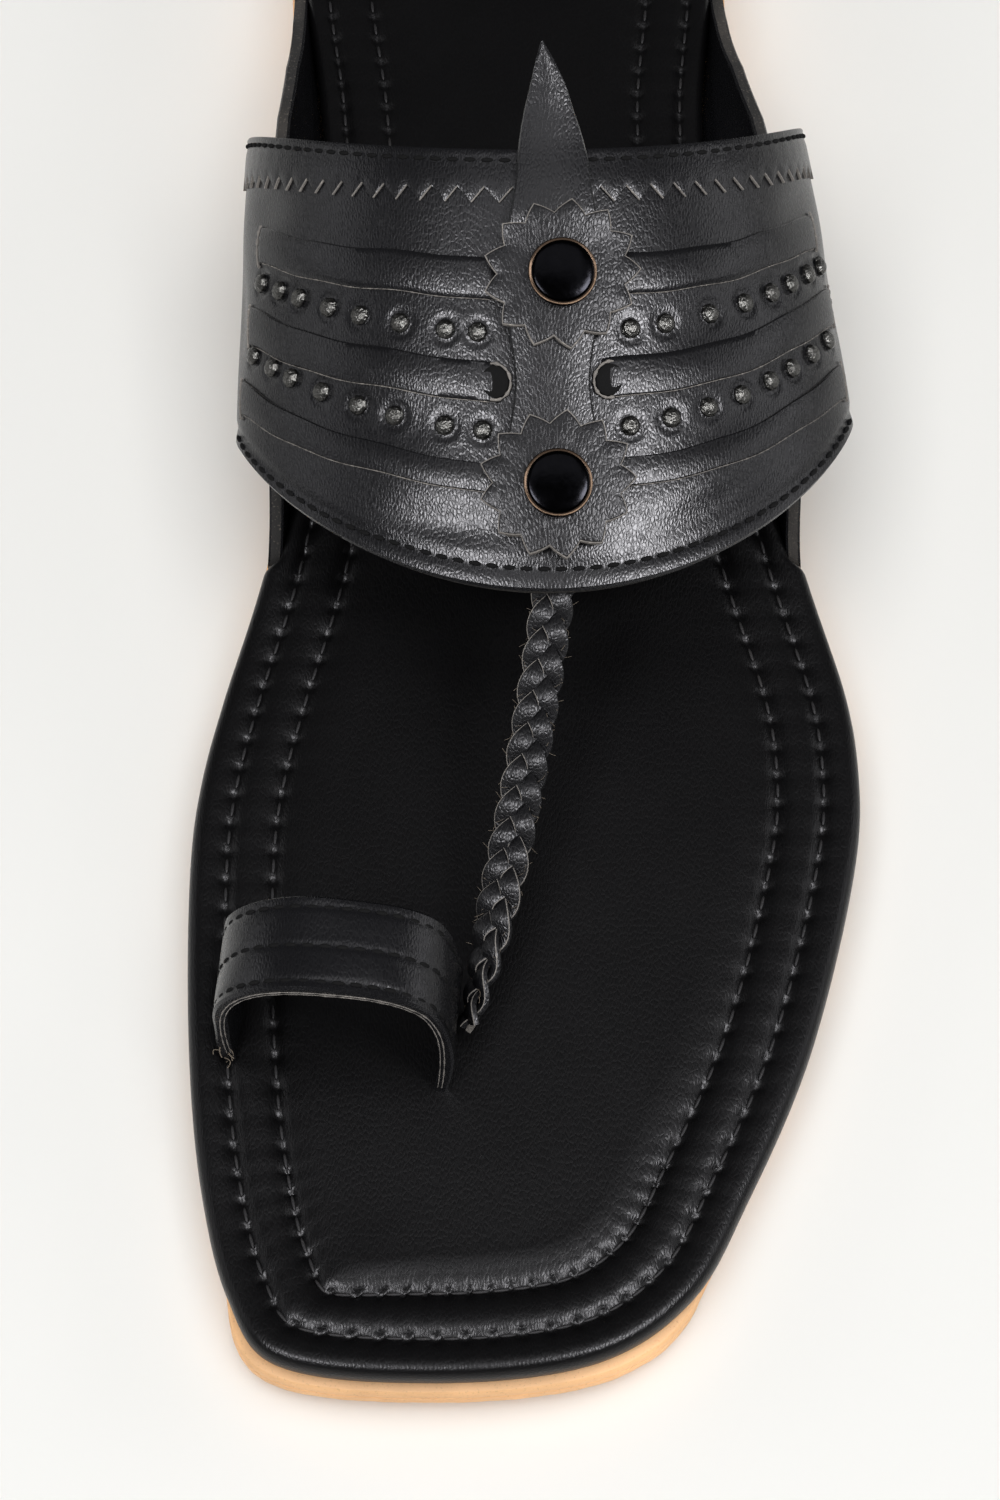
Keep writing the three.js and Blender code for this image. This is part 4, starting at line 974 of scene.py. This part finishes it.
class SANDAL_OT_ears(bpy.types.Operator):
    """Makes the two side ears"""

    bl_idname = "sandal.ears"
    bl_label = "Side ears"

    def execute(self, context):
        shape = Shape()
        y = np.linspace(EAR[0, 0], EAR[-1, 0], 130)[None, :] * SOLE_LENGTH
        level = stepped(20, 0.5, 26)[:, None]
        for side in (-1, 1):
            foot = outsole_top(y) + SEAT_GAP
            up = np.interp(y / SOLE_LENGTH, EAR[:, 0], EAR[:, 1]) * (shoulder_level(y) - foot)
            z = foot + up * level
            x = ear_face(side, y, z)
            drop = edge_drop(level[:, 0], 0.35)[:, None]
            groove = 0.25 * bump_at(z - foot - up, -2.2, 0.7)
            face = lambda reach: np.stack([side * reach, y + 0 * z, z], -1)
            outside, inside = face(x - drop - groove), face(x - EAR_WALL + drop)
            faces = (outside, inside) if side > 0 else (inside, outside)
            shape.sheet(*faces, sides=(2, 2, 2, 1))
        shape.piece("upper_ears", ["strap_grain", "raw_leather_edge", "dyed_leather_edge"], ["upper"])
        return {"FINISHED"}


LOOP_HALF = 17.4
LOOP_HEIGHT = 27.0
LOOP_WIDTH = 14.6
LOOP_WALL = 2.1
LOOP_SQUARE = 2.6
LOOP_TURN = math.radians(-5)
LOOP_ROWS = (-5.9, -0.4, 5.6)
LOOP_X, LOOP_Y = -0.271 * BALL_WIDTH, 0.195 * SOLE_LENGTH


def loop_to_sole(points):
    """From the toe loop's own frame to the sole's"""
    x, y, z = np.moveaxis(np.asarray(points, float), -1, 0)
    c, s = math.cos(LOOP_TURN), math.sin(LOOP_TURN)
    return np.stack([LOOP_X + c * x - s * y, LOOP_Y + s * x + c * y, z + footbed_top(LOOP_Y)], -1)


def loop_line(count=90):
    """Line of the loop's outer face, up the inner leg, over the arch and down the other leg"""
    spring = 0.35 * LOOP_HEIGHT
    arc = np.radians(np.linspace(-90, 90, 300))
    across = np.sign(arc) * LOOP_HALF * np.abs(np.sin(arc)) ** (2 / LOOP_SQUARE)
    height = spring + (LOOP_HEIGHT - spring) * np.maximum(0, np.cos(arc)) ** (2 / LOOP_SQUARE)
    leg = np.linspace(1, 0, 30, endpoint=False)
    foot = lambda side, t: np.stack([side * (LOOP_HALF - 1.04 * t * t), spring - (spring + 2.6) * t], 1)
    line = np.vstack([foot(-1, leg), np.stack([across, height], 1), foot(1, leg[::-1])])
    return even_points(line, count)


def loop_at(line, along, lift):
    """Points on the loop's band: along runs from its front edge to its rear edge in millimetres"""
    way = np.gradient(line, axis=0)
    outward = unit(np.stack([-way[:, 1], way[:, 0]], 1))
    low = np.maximum(0, 1 - line[:, 1] / (0.8 * LOOP_HEIGHT))
    stride = np.where(line[:, 0] > 0, 3.0 * low, 0)
    x = line[:, 0] + outward[:, 0] * lift
    z = line[:, 1] + outward[:, 1] * lift
    return loop_to_sole(np.stack(np.broadcast_arrays(x, along - stride, z), -1))


class SANDAL_OT_toe_loop(bpy.types.Operator):
    """Makes the big toe loop with its stitched edges"""

    bl_idname = "sandal.toe_loop"
    bl_label = "Toe loop"

    def execute(self, context):
        line = loop_line()
        half = LOOP_WIDTH / 2
        along = (stepped(LOOP_WIDTH, 0.4, 40) * 2 - 1)[:, None] * half
        drop = edge_drop(along[:, 0], 0.4)[:, None]
        lift = 0.06 * np.sin((along / half + 1) * math.pi) ** 2
        for row in LOOP_ROWS:
            lift = lift - 0.12 * bump_at(along, row, 0.5)
        run = np.linspace(0, 1, len(line))[None, :]
        ruffle = 0.2 * np.sin(run * 31) * (along / half) ** 2
        shape = Shape()
        top, under = (loop_at(line, along, level + ruffle) for level in (lift - drop, -LOOP_WALL + drop))
        shape.sheet(top, under, sides=(0, 1, 0, 1))
        outward = loop_at(line, -half, 1.0) - loop_at(line, -half, 0.0)
        near = slice(5, -5)
        for depth, radius in ((-1.15, 0.13), (-1.75, 0.1)):
            rim = loop_at(line, -half - 0.02, depth)
            tube(shape, rim[near], outward[near], ragged(np.arange(len(line)) * 0.8, radius)[near], 2, 6)
        shape.piece("upper_toe_loop", ["strap_grain", "dyed_leather_edge", "raw_leather_edge"])
        self.frayed_ends(line)
        return {"FINISHED"}

    def frayed_ends(self, line):
        """Loose threads at the inner leg's front corner"""
        shape = Shape()
        for k in range(9):
            start = loop_at(line[3 + k % 5:5 + k % 5], -LOOP_WIDTH / 2 + 0.1 * k, -0.4 - 0.15 * k)[0]
            t = np.linspace(0, 1, 9)[:, None]
            reach = np.array([1.3 * math.sin(k * 2.1), -1.2 - 0.5 * math.cos(k * 1.7),
                              -0.4 + 0.5 * math.sin(k * 3.3)])
            curl = np.array([math.cos(k * 1.3), 0.4, math.sin(k)]) * 0.9
            tube(shape, start + reach * t + curl * np.sin(t * 2.6), np.array([0.3, 0.2, 1.0]), 0.07, 0, 5)
        shape.piece("loop_threads", ["frayed_thread"])


BRAID_SAG = np.array([1.1, 0, -1.5])
BRAID_REPEAT = 14.5
# One strand's cut, as shares of its half width and heights, and the places in it of its raw edges
STRAND = [(-1, -0.32), (-0.92, -0.44), (0, -0.52), (0.92, -0.44), (1, -0.32),
          (1, 0.32), (0.92, 0.44), (0, 0.52), (-0.92, 0.44), (-1, 0.32)]
RAW_ABOVE, RAW_BESIDE = 8, 5


def braid_frames(share):
    """Centres and directions along the braid, from under the band to the toe loop"""
    angle = float(angle_at(CENTRE + 1, 0.09))
    start = band_at(angle, 0.09, -STRAP_WALL - 0.52)
    end = loop_to_sole([LOOP_HALF + 1.6, -2.2, 6.0])
    share = share[:, None]
    centre = start + (end - start) * share + 4 * share * (1 - share) * BRAID_SAG
    along = unit((end - start) + 4 * (1 - 2 * share) * BRAID_SAG)
    level = unit(np.cross([0, 0, 1], along))
    up = np.cross(along, level)
    turn = math.radians(70) * smooth_step(0.6, 1, share)
    wide = level * np.cos(turn) + up * np.sin(turn)
    thick = up * np.cos(turn) - level * np.sin(turn)
    return centre, along, wide, thick, float(np.linalg.norm(end - start))


class SANDAL_OT_braid(bpy.types.Operator):
    """Plaits three flat strands from the band to the toe loop"""

    bl_idname = "sandal.braid"
    bl_label = "Braid"

    def execute(self, context):
        share = np.linspace(0.0, 0.99, 420)
        centre, along, wide, thick, reach = braid_frames(share)
        periods = round(reach / BRAID_REPEAT)
        half, spread = size("braid_strand") / 2, size("braid_spread")
        shape = Shape()
        for strand in range(3):
            phase = (share * periods + strand / 3) * 2 * math.pi
            swing, weave = spread * np.sin(phase), 0.85 * np.sin(2 * phase)
            path = centre + wide * swing[:, None] + thick * weave[:, None]
            way = unit(np.gradient(path, axis=0))
            side = unit(np.cross(thick, way))
            face = np.cross(way, side)
            grid = np.stack([path + side * (a * half) + face * b for a, b in STRAND], 1)
            rows, count = grid.shape[:2]
            index = closed_index(rows, count)
            faces = grid_quads(index)[:, ::-1].tolist()
            marks = [int(k == RAW_ABOVE or (k == RAW_BESIDE and row > 0.6 * rows))
                     for row in range(rows - 1) for k in range(count)]
            faces += [index[0, :-1].tolist(), index[-1, :-1][::-1].tolist()]
            shape.add(grid, faces, marks + [1, 1])
        shape.piece("upper_braid", ["strand_leather", "raw_leather_edge"], sharp=60)
        self.hairs(centre, along, wide, thick)
        return {"FINISHED"}

    def hairs(self, centre, along, wide, thick):
        """Fine hairs that stand off both sides of the braid"""
        shape = Shape()
        t = np.linspace(0, 1, 4)[:, None]
        for k in range(130):
            at = 40 + round(2.8 * k)
            side = 1 if k % 2 else -1
            start = centre[at] + wide[at] * side * (2.3 + 0.7 * math.sin(k * 2.3)) + thick[at] * 0.3
            reach = wide[at] * side * (0.6 + 0.5 * math.sin(k * 1.9)) + along[at] * 0.9 * math.cos(k * 2.7)
            tube(shape, start + reach * t + thick[at] * 0.5 * t * t, thick[at], 0.03, 0, 3)
        shape.piece("braid_hairs", ["frayed_thread"])


# Share along the band and step aside of each rosette
ROSETTES = {"lower": (0.232, 0.65), "upper": (0.7, 1.2)}
ROSETTE_REACH = 11.2
ROSETTE_TEETH = 13
# Share of the reach and height of the rosette's rings
ROSETTE_PROFILE = [(1.0, -0.05), (1.0, 0.95), (0.98, 1.08), (0.955, 1.12), (0.8, 1.17), (0.5, 1.22),
                   (0.2, 1.25)]
# Radius and height of the cap's rings up to its dome, the copper rim's fold being the last four
CAP_PROFILE = [(4.7, -0.2), (5.0, 0.0), (5.1, 0.5), (5.1, 1.5), (5.0, 1.85), (4.8, 2.0), (4.62, 1.9),
               (4.5, 1.98)]
CAP_DOME = 0.4


def centre_lift(share):
    return STACK_GAP - 0.2 + 0.8 * smooth_step(0.76, 0.85, share)


class SANDAL_OT_trims(bpy.types.Operator):
    """Makes the centre strap, the rosettes and the cap rivets"""

    bl_idname = "sandal.trims"
    bl_label = "Centre strap, rosettes and caps"

    def execute(self, context):
        self.centre_strap()
        for name, (along, aside) in ROSETTES.items():
            self.rosette(name, along, aside)
            self.cap(name, along, aside)
        return {"FINISHED"}

    def centre_strap(self):
        long = band_length(0, 1)
        rows = []
        for share in np.linspace(0.12, 0.96, 60):
            taper = float(smooth_step(0.75, 0.96, share))
            waist = 0.2 * float(bump_at(share, NOTCH_AT, 0.11))
            rows.append((share, 1 - 0.24 * taper - waist, 0.0, float(centre_lift(share))))
        for at, width, drift, rise in LEAF:
            lift = float(centre_lift(1)) + rise * LEAF_LENGTH
            rows.append((1 + at * LEAF_LENGTH / long, width, drift * LEAF_LENGTH, lift))
        rows = np.array(rows)
        fine = np.linspace(0, len(rows) - 1, 170)
        share, width, drift, lift = (np.interp(fine, np.arange(len(rows)), rows[:, k]) for k in range(4))
        across = (stepped(CENTRE_WIDTH, 0.35, 18) * 2 - 1)[None, :]
        drop = edge_drop(across[0], 0.3)[None, :]
        x = CENTRE + drift[:, None] + across * width[:, None] * CENTRE_WIDTH / 2
        crown = 0.25 * (1 - across**2)
        angle = angle_at(x, share[:, None])
        face = lambda extra: band_at(angle, share[:, None], lift[:, None] + extra)
        shape = Shape()
        shape.sheet(face(CENTRE_WALL - drop + crown), face(0 * crown))
        shape.piece("trim_centre_strap", ["strap_grain", "raw_leather_edge"], ["centre_strap"])

    def rosette(self, name, along, aside):
        turn = full_turn(ROSETTE_TEETH * 8)
        saw = np.abs(((turn / (2 * math.pi) * ROSETTE_TEETH) % 1) * 2 - 1)
        outer = ROSETTE_REACH - 2.0 * (1 - saw)
        long = band_length(0, along)
        rings = []
        for reach, lift in ROSETTE_PROFILE:
            share = along + outer * reach * np.sin(turn) / long
            x = CENTRE + aside + outer * reach * np.cos(turn)
            seat = centre_lift(share) + CENTRE_WALL + 0.3
            curl = 0.05 * np.sin(turn * 3 + along * 9) * reach**3
            rings.append(band_at(angle_at(x, share), share, seat + lift + curl))
        shape = Shape()
        shape.rings(rings, [1, 1, 0, 0, 0, 0])
        shape.piece(f"trim_rosette_{name}", ["rosette_grain", "raw_leather_edge"], [f"rosette_{name}"])

    def cap(self, name, along, aside):
        angle = float(angle_at(CENTRE + aside, along))
        normal = Vector(band_normal(angle, along))
        seat = band_at(angle, along, float(centre_lift(along)) + CENTRE_WALL + 1.45)
        turn = normal.to_track_quat("Z", "Y").to_matrix()
        spin = full_turn(72)
        wide, rim = CAP_PROFILE[-1]
        profile = CAP_PROFILE + [(wide * math.cos(a), rim + CAP_DOME * math.sin(a))
                                 for a in np.linspace(0.2, 1.5, 12)]
        rings = [np.stack([r * np.cos(spin), r * np.sin(spin), np.full(len(spin), h)], 1) @ np.array(turn).T
                 + seat for r, h in profile]
        shape = Shape()
        shape.rings(rings, [0] * 4 + [1] * 2 + [0] * (len(profile) - 7))
        shape.piece(f"trim_cap_{name}", ["cap_enamel", "copper_rim"], [f"cap_rivet_{name}"],
                    "black_nickel", 50)


def band_line(angles, shares, lift):
    angles = np.asarray(angles, float)
    return band_at(angles, shares, lift), band_normal(angles, np.asarray(shares, float))


# Degrees across and share along of the seam near the band's front edge
FRONT_SEAM = [(-84, 0.03), (-74, 0.02), (-45, 0.03), (-27, 0.045), (0, 0.045), (28, 0.04), (53, 0.03),
              (84, 0.03)]


class SANDAL_OT_stitches(bpy.types.Operator):
    """Sews the footbed, the band and the toe loop, and sets the studs"""

    bl_idname = "sandal.stitches"
    bl_label = "Stitches and studs"

    def execute(self, context):
        spots = []
        run = np.append(RUN, RING_LENGTH)
        for row in (size("outer_row"), size("inner_row")):
            line = ring(row, FOOTBED_FLAT - size("channel") + 0.05)
            line = np.vstack([line, line[:1]])
            spots.append(spots_on(line, np.tile([0, 0, 1], (len(line), 1)), size("sole_pitch"), run))
        scatter("footbed_stitches", spots, (2.6, 0.55, 0.5), "black_thread")
        angles = np.linspace(-84, 84, 300)
        front = np.interp(angles, *zip(*FRONT_SEAM))
        spots = [spots_on(*band_line(angles, front + 0.005, 0.0), size("edge_pitch")),
                 spots_on(*band_line(angles, 0.972 + 0 * angles, 0.35), size("edge_pitch"))]
        line = loop_line()[12:-12]
        for row in LOOP_ROWS:
            path, above = loop_at(line, row, -0.15), loop_at(line, row, 1.0)
            spots.append(spots_on(path, above - path, 2.5))
        scatter("strap_stitches", spots, (1.9, 0.75, 0.6), "slot_inside")
        angles, shares = stud_places()
        way = band_point(angles + 1, shares) - band_point(angles, shares)
        spots = [(band_at(angles, shares, 0.2), way, band_normal(angles, shares))]
        scatter("band_studs", spots, (size("stud"), size("stud"), 1.9), "dark_stud", (9, 7),
                False)
        return {"FINISHED"}


FLOOR_COLOUR = (0.87, 0.865, 0.84, 1)
ROOM_LIGHT = 0.1
# Camera's place, its degrees up from straight down, and its focal length
CAMERA_AT = (-0.00407, -0.30297, 0.5044)
CAMERA_TILT = 28
CAMERA_LENS = 87.8
# Name, place, target, width, height, watts, and whether matt and glossy faces are lit by it
LIGHTS = [
    ("overhead", (0.0, -0.3, 1.6), (0.0, -0.05, 0.0), 1.8, 1.8, 27.0, True, False),
    ("front_fill", (0.0, -1.5, 0.9), (0.0, -0.05, 0.0), 1.8, 0.8, 8.0, True, False),
    ("left_key", (-0.5, -0.6, 1.12), (0.0, -0.03, 0.04), 0.34, 0.36, 18.0, False, True),
    ("right_key", (0.66, -0.46, 1.12), (0.0, -0.03, 0.04), 0.32, 0.42, 23.0, False, True),
    ("top_glow", (0.0, -0.02, 1.6), (0.0, -0.05, 0.0), 1.0, 0.55, 2.6, False, True),
    ("left_softbox", (-1.2, 0.2, 0.45), (0.0, -0.05, 0.03), 0.8, 0.5, 1.8, True, True),
    ("right_softbox", (1.2, 0.2, 0.45), (0.0, -0.05, 0.03), 0.8, 0.5, 2.6, True, True),
]


class SANDAL_OT_stage(bpy.types.Operator):
    """Sets the pale floor, the soft lights and the camera"""

    bl_idname = "sandal.stage"
    bl_label = "Floor, lights and camera"

    def execute(self, context):
        scene = context.scene
        mesh = bpy.data.meshes.new("floor")
        mesh.from_pydata([(-3, -3, 0), (3, -3, 0), (3, 3, 0), (-3, 3, 0)], [], [(0, 1, 2, 3)])
        made, _, shader = material("pale_floor")
        shader.inputs["Base Color"].default_value = FLOOR_COLOUR
        shader.inputs["Roughness"].default_value = 0.75
        mesh.materials.append(made)
        floor = bpy.data.objects.new("floor", mesh)
        floor.location.z = -0.0002
        scene.collection.objects.link(floor)
        world = bpy.data.worlds.new("soft_room")
        world.use_nodes = True
        sky = world.node_tree.nodes["Background"].inputs
        sky["Color"].default_value = (1.0, 1.0, 1.0, 1)
        sky["Strength"].default_value = ROOM_LIGHT
        scene.world = world
        for name, place, target, wide, high, power, on_matt, on_gloss in LIGHTS:
            lamp = bpy.data.lights.new(name, "AREA")
            lamp.shape = "RECTANGLE"
            lamp.size, lamp.size_y, lamp.energy = wide, high, power
            obj = bpy.data.objects.new(name, lamp)
            obj.visible_diffuse, obj.visible_glossy = on_matt, on_gloss
            aim = (Vector(target) - Vector(place)).to_track_quat("-Z", "Y").to_matrix().to_4x4()
            obj.matrix_world = Matrix.Translation(place) @ aim
            scene.collection.objects.link(obj)
        lens = bpy.data.cameras.new("camera")
        lens.lens, lens.sensor_width, lens.sensor_fit = CAMERA_LENS, 36.0, "AUTO"
        lens.clip_start, lens.clip_end = 0.05, 20.0
        camera = bpy.data.objects.new("camera", lens)
        camera.matrix_world = (Matrix.Translation(CAMERA_AT)
                               @ Matrix.Rotation(math.radians(CAMERA_TILT), 4, "X"))
        scene.collection.objects.link(camera)
        scene.camera = camera
        scene.view_settings.view_transform = "Standard"
        return {"FINISHED"}


STEPS = ("sole", "footbed", "band", "ears", "toe_loop", "braid", "trims", "stitches", "stage")


class SANDAL_PT_panel(bpy.types.Panel):
    """Lists the sandal's sizes, finishes and building steps"""

    bl_idname = "SANDAL_PT_panel"
    bl_label = "Sandal"
    bl_space_type = "VIEW_3D"
    bl_region_type = "UI"
    bl_category = "Sandal"

    def draw(self, context):
        for settings in (context.scene.sandal_sizes, context.scene.sandal_finish):
            for name in settings.__annotations__:
                self.layout.prop(settings, name)
        for step in STEPS:
            self.layout.operator("sandal." + step)


CLASSES = (SandalSizes, SandalFinish, SANDAL_OT_sole, SANDAL_OT_footbed, SANDAL_OT_band, SANDAL_OT_ears,
           SANDAL_OT_toe_loop, SANDAL_OT_braid, SANDAL_OT_trims, SANDAL_OT_stitches, SANDAL_OT_stage,
           SANDAL_PT_panel)


def register():
    for cls in CLASSES:
        bpy.utils.register_class(cls)
    bpy.types.Scene.sandal_sizes = bpy.props.PointerProperty(type=SandalSizes)
    bpy.types.Scene.sandal_finish = bpy.props.PointerProperty(type=SandalFinish)


def unregister():
    del bpy.types.Scene.sandal_finish
    del bpy.types.Scene.sandal_sizes
    for cls in reversed(CLASSES):
        bpy.utils.unregister_class(cls)


def main():
    register()
    for step in STEPS:
        getattr(bpy.ops.sandal, step)()
    bpy.context.view_layer.update()


if __name__ == "__main__":
    main()
